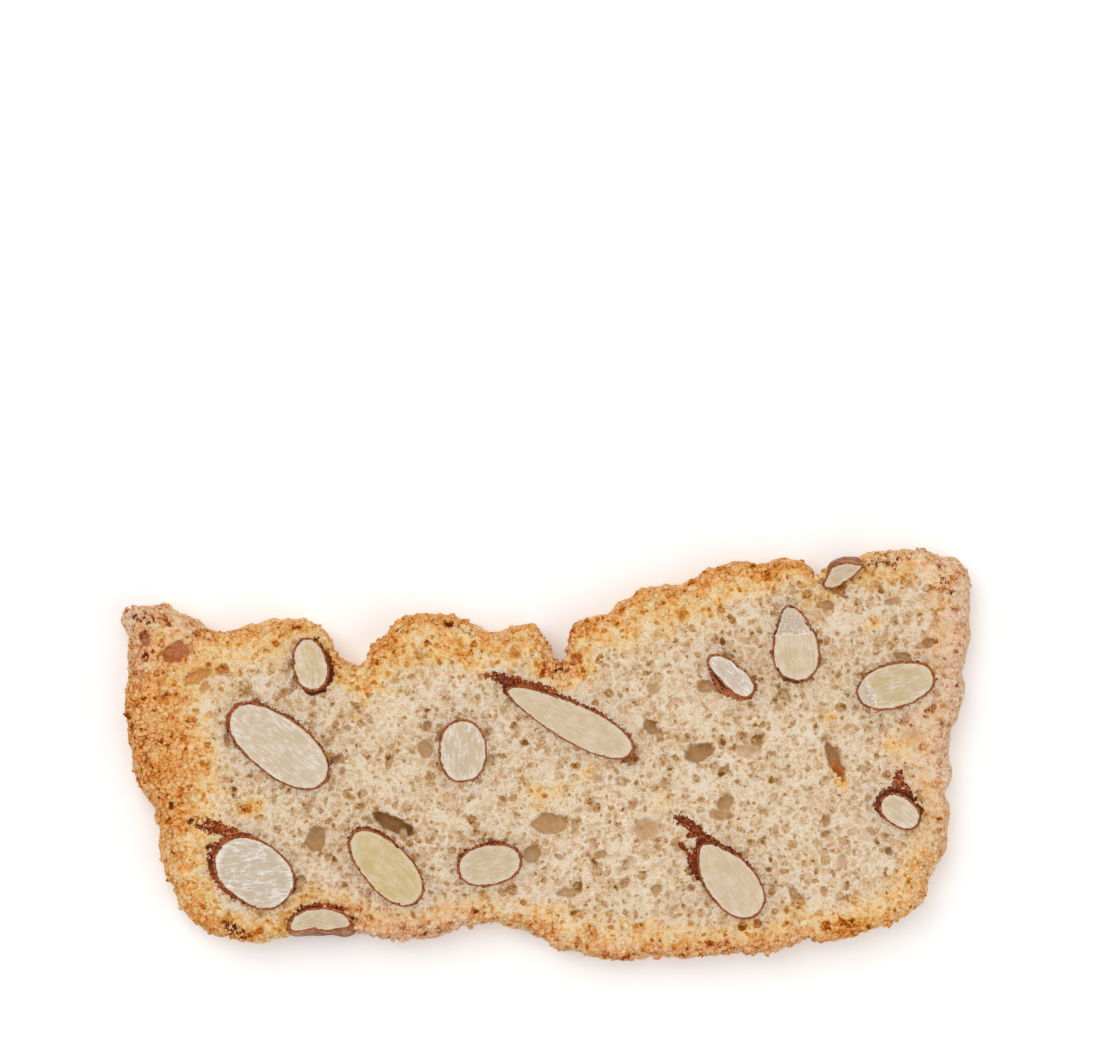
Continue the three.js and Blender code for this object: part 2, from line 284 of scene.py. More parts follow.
class Shader:
    """One material and the nodes that make it."""

    def __init__(self, name):
        self.material = bpy.data.materials.new(name)
        self.material.use_nodes = True
        self.nodes = self.material.node_tree.nodes
        self.links = self.material.node_tree.links
        self.surface = self.nodes["Principled BSDF"]

    def put(self, socket, value):
        """Links an output into a socket, or sets the socket's own value."""
        if isinstance(value, Socket):
            self.links.new(value.output, socket)
        else:
            socket.default_value = value

    def node(self, kind, settings=None, inputs=None, output=0):
        """A node of that kind: its settings first, then its sockets' values or links. A ramp's
        stops are pairs of place and colour. Gives the named output, or several if a tuple."""
        made = self.nodes.new(kind)
        for setting, value in (settings or {}).items():
            if setting == "stops":
                while len(made.color_ramp.elements) < len(value):
                    made.color_ramp.elements.new(1.0)
                for element, (place, shade) in zip(made.color_ramp.elements, value):
                    element.position, element.color = place, shade
            else:
                setattr(made, setting, value)
        for name, value in (inputs or {}).items():
            self.put(made.inputs[name], value)
        if isinstance(output, tuple):
            return [Socket(self, made.outputs[name]) for name in output]
        return Socket(self, made.outputs[output])

    def number(self, value):
        """A plain number as an output."""
        return self.node("ShaderNodeMath", {"operation": "ADD"}, {0: value, 1: 0.0})

    def shade(self, name):
        """A number that the piece's points carry."""
        return self.node("ShaderNodeAttribute", {"attribute_name": name}, output="Fac")

    def place(self):
        """Object coordinates in millimetres."""
        metres = self.node("ShaderNodeTexCoord", output="Object")
        return self.node("ShaderNodeVectorMath", {"operation": "SCALE"}, {0: metres, "Scale": 1 / MM})

    def shifted(self, place, size, amount):
        """A place moved about by noise of that size, up to that amount."""
        wander = self.node("ShaderNodeTexNoise", {}, {"Vector": place, "Scale": 1 / size}, "Color")
        centred = self.node("ShaderNodeVectorMath", {"operation": "SUBTRACT"}, {0: wander, 1: (0.5,) * 3})
        scaled = self.node("ShaderNodeVectorMath", {"operation": "SCALE"}, {0: centred, "Scale": 2 * amount})
        return self.node("ShaderNodeVectorMath", {"operation": "ADD"}, {0: place, 1: scaled})

    def noise(self, place, size, detail, rough=0.5):
        """Noise from 0 to 1 whose bumps are about that size."""
        return self.node("ShaderNodeTexNoise", {},
                         {"Vector": place, "Scale": 1 / size, "Detail": detail, "Roughness": rough})

    def cells(self, place, size, feature="DISTANCE_TO_EDGE", output="Distance"):
        """Random cells of about that size, read as the distance to the nearest wall."""
        return self.node("ShaderNodeTexVoronoi", {"feature": feature},
                         {"Vector": place, "Scale": 1 / size}, output)

    def pits(self, place, size, least, most, faintest, strongest):
        """Round pits, one to each cell of that size: 0 between them and, inside one, a random
        strength from faintest to strongest, or 0 where that is below 0. A pit's radius is a
        random share of its cell, from least to most."""
        away, chance = self.cells(place, size, "F1", ("Distance", "Color"))
        ragged = (self.noise(place, 0.35, 2.0) - 0.5) * (0.35 / size ** 0.5)
        radius = self.channel(chance, "Red") * (most - least) + least + ragged
        share = self.channel(chance, "Green") * (strongest - faintest) + faintest
        return (radius - away).ease(-0.02, 0.07) * share.math("MAXIMUM", 0.0)

    def threads(self, place, size):
        """1 on thin winding lines, where noise of that size crosses its middle, and 0 off them."""
        from_middle = (self.noise(place, size, 1.0) - 0.5).math("ABSOLUTE")
        return 1 - from_middle.ease(0.0, 0.05)

    def ramp(self, value, *stops):
        """A colour by a number: stops are pairs of place and hexadecimal code."""
        stops = [(place, colour(code)) for place, code in stops]
        return self.node("ShaderNodeValToRGB", {"stops": stops}, {"Fac": value})

    def mix(self, share, first, second, blend="MIX"):
        """Two colours mixed by a share."""
        return self.node("ShaderNodeMix", {"data_type": "RGBA", "blend_type": blend},
                         {0: share, 6: first, 7: second}, 2)

    def channel(self, colour, name):
        """The red, green or blue of a colour."""
        return self.node("ShaderNodeSeparateColor", {}, {0: colour}, name)

    def bump(self, height, distance, strength):
        """The normal of a surface raised by a height from 0 to 1 times a distance in metres."""
        inputs = {"Height": height, "Distance": distance, "Strength": strength}
        return self.node("ShaderNodeBump", {}, inputs)

    def finish(self, **sockets):
        """Sets the surface's sockets; an underscore in a name stands for a space."""
        for name, value in sockets.items():
            self.put(self.surface.inputs[name.replace("_", " ")], value)
        return self.material


def colour(code):
    """A colour from its hexadecimal code, as the linear numbers a shader takes."""
    parts = [int(code[k:k + 2], 16) / 255 for k in (0, 2, 4)]
    return (*[c / 12.92 if c <= 0.04045 else ((c + 0.055) / 1.055) ** 2.4 for c in parts], 1.0)


# ---- Looks that depend on the place ----

# Toasting round the edge: X, Y, how far it reaches in from the edge, how strong it is where 1 is
# brown, and how rosy the crust is there.
TOASTING = [
    (-75, 26, 8, 0.6, 0.6), (-66, 25, 6, 0.45, 0.45), (-58, 23, 6, 0.5, 0), (-50, 25, 5, 0.55, 0),
    (-40, 22, 3, 0.35, 0), (-30, 23, 5, 0.6, 0), (-20, 26, 6, 0.65, 0), (-12, 24, 5, 0.6, 0),
    (-4, 23, 4, 0.55, 0), (1.5, 17, 2.5, 0.9, 0.1), (7, 24, 4, 0.65, 0), (15, 30, 5.5, 0.6, 0),
    (23, 31, 6, 0.6, 0), (32, 35, 4, 0.9, 0), (38, 35, 3.5, 0.8, 0), (46, 35, 3, 0.5, 0),
    (52, 32, 2, 0.3, 0), (62, 37, 5, 0.4, 0.2), (72, 36, 6, 0.4, 0.6), (76, 28, 6, 0.35, 0.8),
    (75, 12, 5, 0.3, 0.9), (73, 0, 5, 0.35, 0.8), (72, -12, 4, 0.4, 0.4), (69, -24, 4, 0.5, 0.2),
    (60, -31, 4, 0.55, 0), (45, -34, 4, 0.65, 0.2), (30, -36, 4, 0.6, 0.2), (15, -36, 4.5, 0.65, 0.2),
    (3, -34, 4, 0.7, 0.2), (-8, -30, 2.5, 0.5, 0.2), (-20, -32, 3, 0.7, 0.5), (-35, -32, 2.5, 0.7, 0.4),
    (-48, -33, 3, 0.4, 0), (-60, -31, 4, 0.65, 0), (-67, -24, 6, 0.6, 0), (-70, -12, 8, 0.65, 0),
    (-75, -2, 11, 1.0, 0), (-76, 8, 11, 1.0, 0), (-76, 18, 10, 0.65, 0.35),
]
# Spots and patches away from the edge: X, Y, half length, half width, turn, how toasted.
TOASTED_SPOTS = [
    (-53, -9.5, 2.2, 1.6, 20, 0.55), (59.5, 23.8, 1.4, 0.9, 20, 0.6), (51.8, 7, 1.3, 0.8, 0, 0.6),
    (-18.7, -7.3, 0.8, 0.5, 0, 0.6), (-1, -7.5, 5.5, 3, 10, 0.22), (7, -3, 4, 2.2, 30, 0.2),
    (21, -9, 3, 2, 0, 0.18), (-66, 2, 4.5, 11, 5, 0.4), (-69, -9, 3, 5, 10, 0.4),
    (53.5, -4, 0.9, 2.2, 25, 1.1), (47, 25, 7, 3, 0, 0.12), (64, 2, 3, 2.5, 0, 0.35),
    (-14, 17, 7, 3, 0, 0.15), (-67.2, 18.8, 2.8, 2.1, 30, 1.1), (-73.1, 20.9, 1.6, 1.6, 0, 1.2),
    (2.4, 15.8, 2.4, 1.5, 0, 1.7),
]
# Bits of brown skin left in the crumb beyond an almond's own rim: start, end, half width at each,
# how warm its brown is (0 purple, 1 orange), and how solid it is.
SKIN_TAILS = [
    (-10.5, 14.8, -6.5, 13.4, 0.6, 1.3, 0.45, 0.8), (-6.5, 13.4, 1.5, 11.8, 1.2, 0.6, 0.55, 0.8),
    (24.4, -11.2, 27.5, -13.8, 0.9, 1.3, 0.5, 0.9), (27.5, -13.8, 32, -17.2, 1.3, 1.0, 0.5, 0.9),
    (24.8, -16.4, 26.8, -18.6, 0.6, 0.7, 0.5, 0.8), (26.5, -19.5, 27.6, -22.5, 0.9, 0.5, 0.3, 0.8),
    (-64.6, -11.9, -61.5, -12.5, 0.7, 1.3, 0.4, 0.7),
    (-61.5, -12.6, -56, -14.3, 1.5, 1.0, 0.6, 0.8), (-60.8, -17, -59.5, -20.5, 1.1, 0.8, 0.35, 0.65),
    (64.5, -3.0, 64.3, -6.2, 0.8, 1.9, 0.6, 0.75), (-57.5, -31, -54.5, -33.6, 1.0, 1.5, 0.3, 0.6),
    (-52.5, 25.2, -47.5, 24.7, 0.8, 0.9, 0.1, 0.6), (-31.5, 20.5, -28.6, 23.4, 0.5, 0.6, 0.1, 0.8),
    (57.5, 35.6, 63.5, 35.2, 1.2, 1.2, 0.7, 0.35), (72.2, 32.4, 73.9, 29.8, 0.9, 0.8, 0.7, 0.45),
    (-77, 25.5, -72, 24.5, 1.0, 0.9, 0.3, 0.5),
    (52.5, -6.8, 53.5, -7.2, 0.3, 0.3, 0.9, 0.8),
    (-0.5, 18.8, 1.5, 14.2, 0.4, 0.5, 1.0, 0.8),
]
# Each almond: how green, how chalky and how dull its meat is, how thick its skin is, where it is
# thicker (direction from its middle, spread to each side, by how much), how warm its brown is, where
# the meat is broken to a chalky lower step (a place on the break, and the way the step faces), which
# way the knife's marks run, where the meat has shrunk away from its skin (a place on its straight
# side, and the way that side faces), how ragged the skin's outer edge is, and where the face's
# outline reaches further than the model's (direction, spread, by how much). What isn't given is as
# in PLAIN_ALMOND.
PLAIN_ALMOND = {"green": 0.2, "chalk": 0.3, "dull": 0.0, "skin": 0.3, "thicker": [], "warmth": 0.5,
                "step": None, "marks": None, "shrunk": None, "ragged": 0.5, "shape": []}
ALMOND_LOOKS = {
    "almond_01": {"green": 0.6, "chalk": 0.45, "skin": 0.35, "warmth": 0.2,
                  "thicker": [(-5, 55, 1.1), (-75, 35, 0.7), (150, 40, 0.15)]},
    "almond_02": {"green": 0.1, "chalk": 0.7, "skin": 0.35, "thicker": [(50, 50, 0.35), (150, 40, 0.35)]},
    "almond_03": {"chalk": 0.7, "dull": 0.15, "thicker": [(125, 30, 0.3)]},
    "almond_04": {"chalk": 0.15, "thicker": [(105, 70, 0.55), (20, 30, 0.3)],
                  "shape": [(153, 6, 1.3)]},
    "almond_05": {"green": 0.0, "chalk": 1.3, "thicker": [(-132, 52, 1.5), (-60, 30, 0.3)],
                  "warmth": 0.62, "shrunk": (32.4, 13.3, -137), "ragged": 0.08,
                  "shape": [(60, 25, -0.3)]},
    "almond_06": {"green": 0.3, "thicker": [(-95, 30, 0.45), (170, 40, 0.2)], "warmth": 0.3,
                  "step": (45.5, 22, 95), "shape": [(103, 13, 0.9), (62, 22, -0.6)]},
    "almond_07": {"green": 0.7, "chalk": 0.4, "dull": 0.25, "skin": 0.35,
                  "thicker": [(100, 60, 0.2), (10, 30, 0.2)], "step": (59.6, 11.4, 200)},
    "almond_08": {"chalk": 0.5, "thicker": [(90, 60, 1.2), (20, 40, 0.8), (160, 40, 0.8)], "warmth": 0.4},
    "almond_09": {"green": 0.15, "chalk": 0.2, "thicker": [(75, 45, 0.7), (150, 45, 0.9)], "warmth": 0.45,
                  "shape": [(128, 13, 1.1)]},
    "almond_10": {"green": 0.35, "dull": 0.2, "thicker": [(75, 55, 0.6), (165, 35, 0.4)]},
    "almond_11": {"green": 1.0, "chalk": 0.1, "skin": 0.35, "thicker": [(110, 45, 0.5), (20, 50, 0.25)]},
    "almond_12": {"green": 0.25, "chalk": 1.2, "dull": 0.15, "warmth": 0.6, "marks": 5,
                  "thicker": [(170, 45, 1.3), (110, 30, 0.8), (-130, 35, 0.4)]},
    "almond_13": {"green": 0.4, "dull": 0.35, "skin": 0.45, "thicker": [(110, 60, 1.0), (30, 30, 0.7)],
                  "warmth": 0.4},
    "almond_14": {"chalk": 0.2, "dull": 0.6, "thicker": [(130, 60, 0.3)], "warmth": 0.6},
}


def in_frame(flat, x, y, turn):
    """Places seen from a point, along and across a direction."""
    cos, sin = math.cos(math.radians(turn)), math.sin(math.radians(turn))
    across = flat - np.array([x, y])
    return across[..., 0] * cos + across[..., 1] * sin, across[..., 1] * cos - across[..., 0] * sin


def toasting(flat, inside):
    """How toasted and how rosy places are. Strength, reach and rosiness come from the listed
    places round the edge, each counting by the fourth power of its nearness. The toasting
    dies away inwards as exp(-(distance from the edge / reach) ^ 1.4), a narrow line by the edge
    adds to it, and so does a bell for each of the listed spots."""
    stations = np.array(TOASTING)
    apart = ((flat[:, None] - stations[:, :2]) ** 2).sum(2)
    weight = 1 / (apart + 2 ** 2) ** 2
    weight /= weight.sum(1)[:, None]
    reach, strength, rosy = (weight @ stations[:, 2:]).T
    toast = strength * (np.exp(-(inside.clip(0) / reach) ** 1.4) + 0.4 * np.exp(-inside.clip(0) / 1.2))
    for x, y, half_long, half_wide, turn, much in TOASTED_SPOTS:
        u, v = in_frame(flat, x, y, turn)
        toast += much * np.exp(-(u / half_long) ** 2 - (v / half_wide) ** 2)
    return toast, rosy * np.exp(-inside.clip(0) / 5)


def bell_round(degrees, direction, spread):
    """A bell of height 1 round a direction."""
    turned = (degrees - direction + 180) % 360 - 180
    return np.exp(-(turned / spread) ** 2)


def skin_thickness(looks, degrees):
    """How wide the brown skin shows beside an almond, by direction from its middle."""
    return looks["skin"] + sum(more * bell_round(degrees, direction, spread)
                               for direction, spread, more in looks["thicker"])


def looks_of(name):
    """An almond's looks: its own, and the plain ones for the rest."""
    return {**PLAIN_ALMOND, **ALMOND_LOOKS[name]}


OUTLINE_POINTS = 240  # round an almond, where its outline is changed


def face_loop(name):
    """The outline of an almond's front cut face: the model's, with the looks' own changes."""
    walked = walk_loop(section_loops(name, BY_FRONT)[0], OUTLINE_POINTS)
    across = walked - walked.mean(0)
    away = np.hypot(*across.T)
    degrees = np.degrees(np.arctan2(across[:, 1], across[:, 0]))
    further = sum(more * bell_round(degrees, direction, spread)
                  for direction, spread, more in looks_of(name)["shape"])
    return walked + across * (further / away)[:, None]


def meat_loop(loop, looks):
    """The outline of an almond's meat: the loop's own, or less where the meat has shrunk."""
    if not looks["shrunk"]:
        return loop
    walked = walk_loop(loop, OUTLINE_POINTS)
    beyond, _ = in_frame(walked, *looks["shrunk"])
    way = math.radians(looks["shrunk"][2])
    return walked - beyond.clip(0)[:, None] * np.array([math.cos(way), math.sin(way)])


# ---- The outline of the slice ----

RIM_STATIONS = 1300  # points round the edge, on every ring of the crust
RIM_LEVELS = 13  # rings from the front cut face to the back one
CORNER_SMOOTHING = 2.0  # stations that the model's straight sides are rounded over
OUTWARD_SMOOTHING, FREEDOM_SMOOTHING = 3, 4  # stations
RIM_ROUNDING = 0.4  # how far the rims lie below the cut faces


def nearest_on(loop, points):
    """The nearest point of a closed loop's sides to each point."""
    side = np.roll(loop, -1, 0) - loop
    offset = points[:, None] - loop
    along = np.clip((offset * side).sum(2) / ((side ** 2).sum(1) + 1e-12), 0, 1)
    places = loop + along[..., None] * side
    best = ((points[:, None] - places) ** 2).sum(2).argmin(1)
    return places[np.arange(len(points)), best]


front_loop = section_loops("crumb", BY_FRONT)[0]
widest_loop = section_loops("crumb", WIDEST)[0]
back_loop = section_loops("crumb", BY_BACK)[0]
widest_ring = smooth_round(walk_loop(widest_loop, RIM_STATIONS), CORNER_SMOOTHING)
front_ring = smooth_round(nearest_on(front_loop, widest_ring), CORNER_SMOOTHING)
back_ring = smooth_round(nearest_on(back_loop, widest_ring), CORNER_SMOOTHING)
along_ring = np.roll(widest_ring, -1, 0) - np.roll(widest_ring, 1, 0)
ring_outward = smooth_round(np.stack([along_ring[:, 1], -along_ring[:, 0]], 1), OUTWARD_SMOOTHING)
ring_outward /= np.hypot(*ring_outward.T)[:, None]
almond_loops = {name: face_loop(name) for name in ALMONDS}
by_almonds = np.min([np.hypot(*(nearest_on(loop, front_ring) - front_ring).T)
                     for loop in almond_loops.values()], axis=0)
apart = np.hypot(*np.diff(front_ring, axis=0, prepend=front_ring[-1:]).T)
# How freely a station may move: not at all beside an almond or where stations crowd in a corner.
ring_freedom = smooth_round(ease(apart, 0.1, 0.3) * ease(by_almonds, 0.6, 2.5), FREEDOM_SMOOTHING)

coarse_grid = Grid(0.5)
edge_distance = distance_inside(coarse_grid.points, walk_loop(front_loop, 400))
toast_grid, _ = toasting(coarse_grid.points.reshape(-1, 2), edge_distance.ravel())
toast_grid = toast_grid.reshape(coarse_grid.shape)


def from_rim(flat):
    """How far places lie inside the front cut face's outline."""
    return coarse_grid.read(edge_distance, flat)


def rim_drop(flat):
    """How far the rounding of the rim takes a cut face down, at places inside the rim."""
    return RIM_ROUNDING * np.exp(-from_rim(flat).clip(0) / 0.4)


def rim_points():
    """The crust as rings of points from the front rim to the back one. Each station moves from the
    widest line towards each rim by the square of its height's share, then by noise: in and out
    with small pits, and any way by a torn noise that is weaker at the slice's two ends. Gives the
    points, and how crumbly each ring is, from 0 at the widest line to 1 at the rims."""
    heights = np.linspace(THICKNESS - RIM_ROUNDING, RIM_ROUNDING, RIM_LEVELS)[:, None, None]
    upper = ((heights - WIDEST) / (THICKNESS - WIDEST)).clip(0) ** 2
    lower = ((WIDEST - heights) / WIDEST).clip(0) ** 2
    flat = widest_ring + (front_ring - widest_ring) * upper + (back_ring - widest_ring) * lower
    points = np.concatenate([flat, np.broadcast_to(heights, (*flat.shape[:2], 1))], 2)
    crumbly = np.maximum(upper, lower)[..., 0] ** 0.8
    uneven = 0.25 * noise(points, 3.0, 31) - 0.55 * ease(layered_noise(points, 1.7, 35, 2), 0.25, 0.7)
    torn = np.stack([layered_noise(points, 2.2, seed) for seed in (32, 33)], -1)
    loose = 0.35 + 0.45 * ease(72 - np.abs(points[..., 0]), 0, 6)
    moved = ring_outward * uneven[..., None] + loose[..., None] * torn
    points[..., :2] += moved * ring_freedom[:, None]
    points[..., 2] += 0.12 * noise(points, 1.3, 37)
    return points, crumbly


# ---- The foam of the cut faces ----

FOAM_STEP = 0.14  # of the grid on which the foam is worked out
# Bubbles are packed from the largest size down, each size into the room that is left: radius,
# and the share of its possible places that hold a bubble.
BUBBLES = [(1.25, 0.03), (0.95, 0.12), (0.72, 0.3), (0.55, 0.5), (0.42, 0.6), (0.32, 0.6)]
ABOVE_FACE = 0.15  # how far crumb may stand up from the front cut face
UNDER_ALMOND = 2.4  # how far the face drops below an almond's cut face
SKIN_GAP = 1.4  # how deep the gap is where an almond has shrunk away from its skin
PORE_SHARE = 0.7  # of the depth of the model's pores: their floors are rounder than its balls
SHALLOW_PORES = [  # of the model: X, Y, and the share of their depth
    (29.2, 12.4, 0.35), (-2.4, -17.9, 0.35), (-67.2, 18.5, 0.6), (66.8, 3.3, 0.3), (18.5, -13.6, 0.45),
    (0.7, -12.5, 0.6),
]
# Pores finer than the model's own: X, Y, length, width, turn, depth.
SMALL_PORES = [
    (-73.1, 20.9, 3.6, 2.8, 70, 1.8), (-67.2, 18.8, 5.4, 3.9, 30, 1.5), (-63.2, 14.4, 5.6, 2.4, 25, 1.3),
    (-62, 12.6, 2.6, 1.6, 80, 1.2), (36.8, 0.8, 4.8, 2.4, 5, 0.9), (51, 27.2, 3.2, 1.9, 0, 1.7),
    (63.4, 28.2, 4, 1.5, 10, 1.2), (69.6, 20.5, 2.2, 2, 30, 1.8),
    (65, 18.2, 3.6, 1.5, -10, 1.4), (31.9, -10.8, 5, 2, -5, 1.2), (62.4, -17.4, 1.4, 1.6, 60, 2.0),
    (51.3, -11.7, 3, 1.5, 80, 1.3), (51.1, -14.2, 2.2, 1.2, 30, 1.4), (54.4, -26, 3, 1.1, 20, 1.1),
    (41.4, -23.7, 3.2, 0.9, -5, 1.1), (54, -19.2, 3, 2, 60, 0.8), (-21.4, 5.3, 1.8, 2.2, 0, 1.7),
    (-21.8, 1.1, 2.8, 3.4, 20, 1.6), (20.4, -24.2, 2.3, 2, 30, 1.3), (10.2, -18, 2.7, 1.6, 15, 1.3),
    (2.6, -18.5, 2, 1.3, 0, 1.0), (8.4, -15.5, 2.3, 1.2, 10, 1.0), (19.7, 12.1, 3, 2.4, 40, 1.1),
    (16.1, -8.9, 2.6, 1.4, 35, 1.2), (2.4, 15.4, 1.8, 1.6, 0, 2.4), (-38, -0.6, 2.4, 1.6, 30, 2.0),
    (-57.9, 2.8, 1.2, 3, 10, 1.6), (-68.1, -9.2, 1.2, 1.8, 0, 2.4), (-17.5, 24, 1.6, 1.8, 30, 2.2),
    (-52.5, 9.8, 2.2, 1.5, 40, 1.2), (-36, 5, 1.4, 1.0, 0, 1.0), (-33.2, -6.8, 2.2, 1.4, 20, 0.9),
    (9.5, -4.2, 2.4, 1.4, 0, 0.9), (-3, -1.8, 1.8, 1.2, 0, 0.9), (24, -17, 1.8, 1.2, 20, 0.9),
    (28.8, -2, 1.6, 1.2, 0, 1.0), (-25.8, -14.5, 1.4, 2.2, 10, 1.2), (44, -2.6, 1.8, 1.1, -20, 0.9),
    (25.3, 22.6, 1.6, 1.2, 0, 1.0), (57.6, 14.8, 1.3, 1.0, 0, 1.0), (70.5, 8.8, 1.4, 1.0, 30, 1.2),
]


class Relief:
    """A cut face as numbers on a grid: how deep it lies below the face's plane, where pores have
    smooth floors, where brown almond skin sticks to it, how warm that brown is, how near an almond
    is, and how much room is left for bubbles."""

    def __init__(self, height, seed):
        self.grid = Grid(FOAM_STEP)
        self.height = height
        toast = coarse_grid.read(toast_grid, self.grid.points)
        self.depth = 0.08 + 0.15 * toast + 0.1 * noise(self.grid.points, 5.0, seed + 5)
        self.depth += (0.07 + 0.33 * toast) * layered_noise(self.grid.points, 1.0, seed)
        self.wobble = layered_noise(self.grid.points, 0.9, seed + 10)
        self.floor = np.zeros(self.grid.shape)
        self.skin = np.zeros(self.grid.shape)
        self.warmth = np.full(self.grid.shape, 0.5)
        self.by_almond = np.zeros(self.grid.shape)
        self.room = np.full(self.grid.shape, 9.0)
        for place, (radius, share) in enumerate(BUBBLES):
            self.carve_bubbles(radius, share, seed + 20 + place)

    def window(self, low, high, margin):
        """The part of the grid round a box."""
        first = ((low - margin - self.grid.start) / self.grid.step).astype(int).clip(0)
        last = ((high + margin - self.grid.start) / self.grid.step).astype(int) + 1
        return slice(first[1], last[1]), slice(first[0], last[0])

    def carve_bubbles(self, size, share, seed):
        """Deepens the face where bubbles of about one size are cut open, on uneven rows wherever
        there is room. A bubble is an oval at a random height; below a point of its opening, the
        face drops to the bubble's floor."""
        rng = np.random.default_rng(seed)
        rows, columns = self.grid.shape
        width, length = columns * self.grid.step, rows * self.grid.step
        apart, row_gap = 2.1 * size, 1.85 * size
        x, y = np.meshgrid(np.arange(0, width, apart), np.arange(0, length, row_gap))
        x[1::2] += apart / 2
        centre = self.grid.start + np.stack([x, y], -1).reshape(-1, 2)
        centre += rng.uniform(-0.5, 0.5, centre.shape) * size
        fits = (self.grid.read(self.room, centre) > 0.7 * size) & (rng.uniform(0, 1, len(centre)) < share)
        centre = centre[fits]
        radius = size * rng.uniform(0.75, 1.15, len(centre))
        stretch, turn = rng.uniform(0.7, 1.4, len(centre)), rng.uniform(0, math.pi, len(centre))
        sunk = radius * (rng.uniform(0, 1, len(centre)) ** 1.5 * 1.3 - 0.75)
        reach = math.ceil(size * 1.6 / self.grid.step)
        steps = np.arange(-reach, reach + 1)
        nearest = np.round((centre - self.grid.start) / self.grid.step).astype(int)
        column = (nearest[:, :1] + np.tile(steps, len(steps))).clip(0, columns - 1)
        row = (nearest[:, 1:] + np.repeat(steps, len(steps))).clip(0, rows - 1)
        across = self.grid.points[row, column] - centre[:, None]
        cos, sin = np.cos(turn)[:, None], np.sin(turn)[:, None]
        u = (across[..., 0] * cos + across[..., 1] * sin) / (radius * stretch)[:, None]
        v = (across[..., 1] * cos - across[..., 0] * sin) / (radius / stretch)[:, None]
        share = 1 - (u * u + v * v) * (1 + 1.3 * self.wobble[row, column])
        half = radius[:, None] * np.sqrt(share.clip(0))
        floor = np.where((share > 0) & (half > sunk[:, None]), sunk[:, None] + 0.9 * half, 0)
        np.maximum.at(self.depth, (row, column), floor)
        np.minimum.at(self.room, (row, column), (np.hypot(u, v) - 1) * radius[:, None])

    def carve_pore(self, part, inside, deep):
        """Deepens the face inside a pore: steep at its edge and nearly level at its floor."""
        edge = inside + 0.4 * self.wobble[part]
        share = (edge / edge.max()).clip(0, 1)
        bowl = deep * (1 - (1 - share) ** 2) ** 0.5 * (1 + 0.1 * self.wobble[part])
        shallow = self.depth[part]
        self.depth[part] = np.where(edge > 0, np.maximum(bowl, 0.2 * shallow), shallow)
        self.floor[part] = np.maximum(self.floor[part], ease(edge, 0.05, 0.35))

    def carve_loop(self, loop, deep):
        """A pore with a given outline, deepening with the distance inside it."""
        part = self.window(loop.min(0), loop.max(0), 1)
        self.carve_pore(part, distance_inside(self.grid.points[part], loop), deep)

    def carve_oval(self, x, y, long, wide, turn, deep):
        """An oval pore: the distance inside it is half its width times (1 - share of the way out)."""
        part = self.window(np.array([x, y]), np.array([x, y]), long)
        u, v = in_frame(self.grid.points[part], x, y, turn)
        share = np.hypot(u / (long / 2), v / (wide / 2))
        self.carve_pore(part, (1 - share) * wide / 2, deep)

    def set_in_almond(self, loop, looks, meat=None):
        """Leads the face under an almond's rim and then down, sticks the almond's skin to it, and
        roughens the crumb beside it. Where the meat has shrunk, a gap opens between the two."""
        part = self.window(loop.min(0), loop.max(0), 6)
        flat = self.grid.points[part]
        inside = distance_inside(flat, loop)
        across = flat - middle_of(loop)
        degrees = np.degrees(np.arctan2(across[..., 1], across[..., 0]))
        thickness = skin_thickness(looks, degrees)
        rough = layered_noise(flat, 0.5, 71)
        skin = ease(thickness - 0.3 + inside + looks["ragged"] * thickness * rough, -0.1, 0.15)
        skin *= 1 - 0.45 * ease(-inside, 0.4, 1.4) * (meat is None)
        if meat is not None:
            self.floor[part] = np.maximum(self.floor[part], skin)
        self.add_skin(part, skin, looks["warmth"] + 0.25 * noise(flat, 2.5, 72))
        self.by_almond[part] = np.maximum(self.by_almond[part], np.exp(inside.clip(None, 0) / 2.2))
        in_meat = inside
        if meat is not None:
            in_meat = distance_inside(flat, meat)
        self.depth[part] += UNDER_ALMOND * ease(in_meat, 0.3, 0.6)
        if meat is not None:
            self.depth[part] += SKIN_GAP * ease(in_meat, -0.6, -0.45) * ease(inside - in_meat, 0.25, 0.4)

    def add_skin(self, part, skin, warmth):
        """Sticks skin to the face. By its strength the face's own depth gives way to a shallow
        rough one, and its warmth counts wherever it is the strongest skin so far."""
        rough = layered_noise(self.grid.points[part], 0.45, 73)
        new = skin > self.skin[part]
        self.warmth[part] = np.where(new, warmth, self.warmth[part])
        self.skin[part] = np.maximum(self.skin[part], skin)
        smooth_depth = np.minimum(self.depth[part], 0.3)
        self.depth[part] += skin * (smooth_depth - self.depth[part] - 0.08 + 0.28 * rough)

    def add_tail(self, x0, y0, x1, y1, half0, half1, warmth, solid):
        """Skin along a short line whose width changes from one end to the other."""
        ends = np.array([[x0, y0], [x1, y1]], dtype=float)
        part = self.window(ends.min(0), ends.max(0), 3)
        flat = self.grid.points[part]
        along = ends[1] - ends[0]
        share = (((flat - ends[0]) @ along) / (along @ along)).clip(0, 1)
        away = np.hypot(*np.moveaxis(flat - ends[0] - share[..., None] * along, -1, 0))
        half = half0 + (half1 - half0) * share
        rough = layered_noise(flat, 0.6, 74)
        skin = solid * ease(half * (1 + 0.7 * rough) - away, -0.05, 0.3)
        self.add_skin(part, skin, warmth + 0.25 * rough)

    def read(self, values, points):
        """The relief's values at any places."""
        return self.grid.read(values, points)


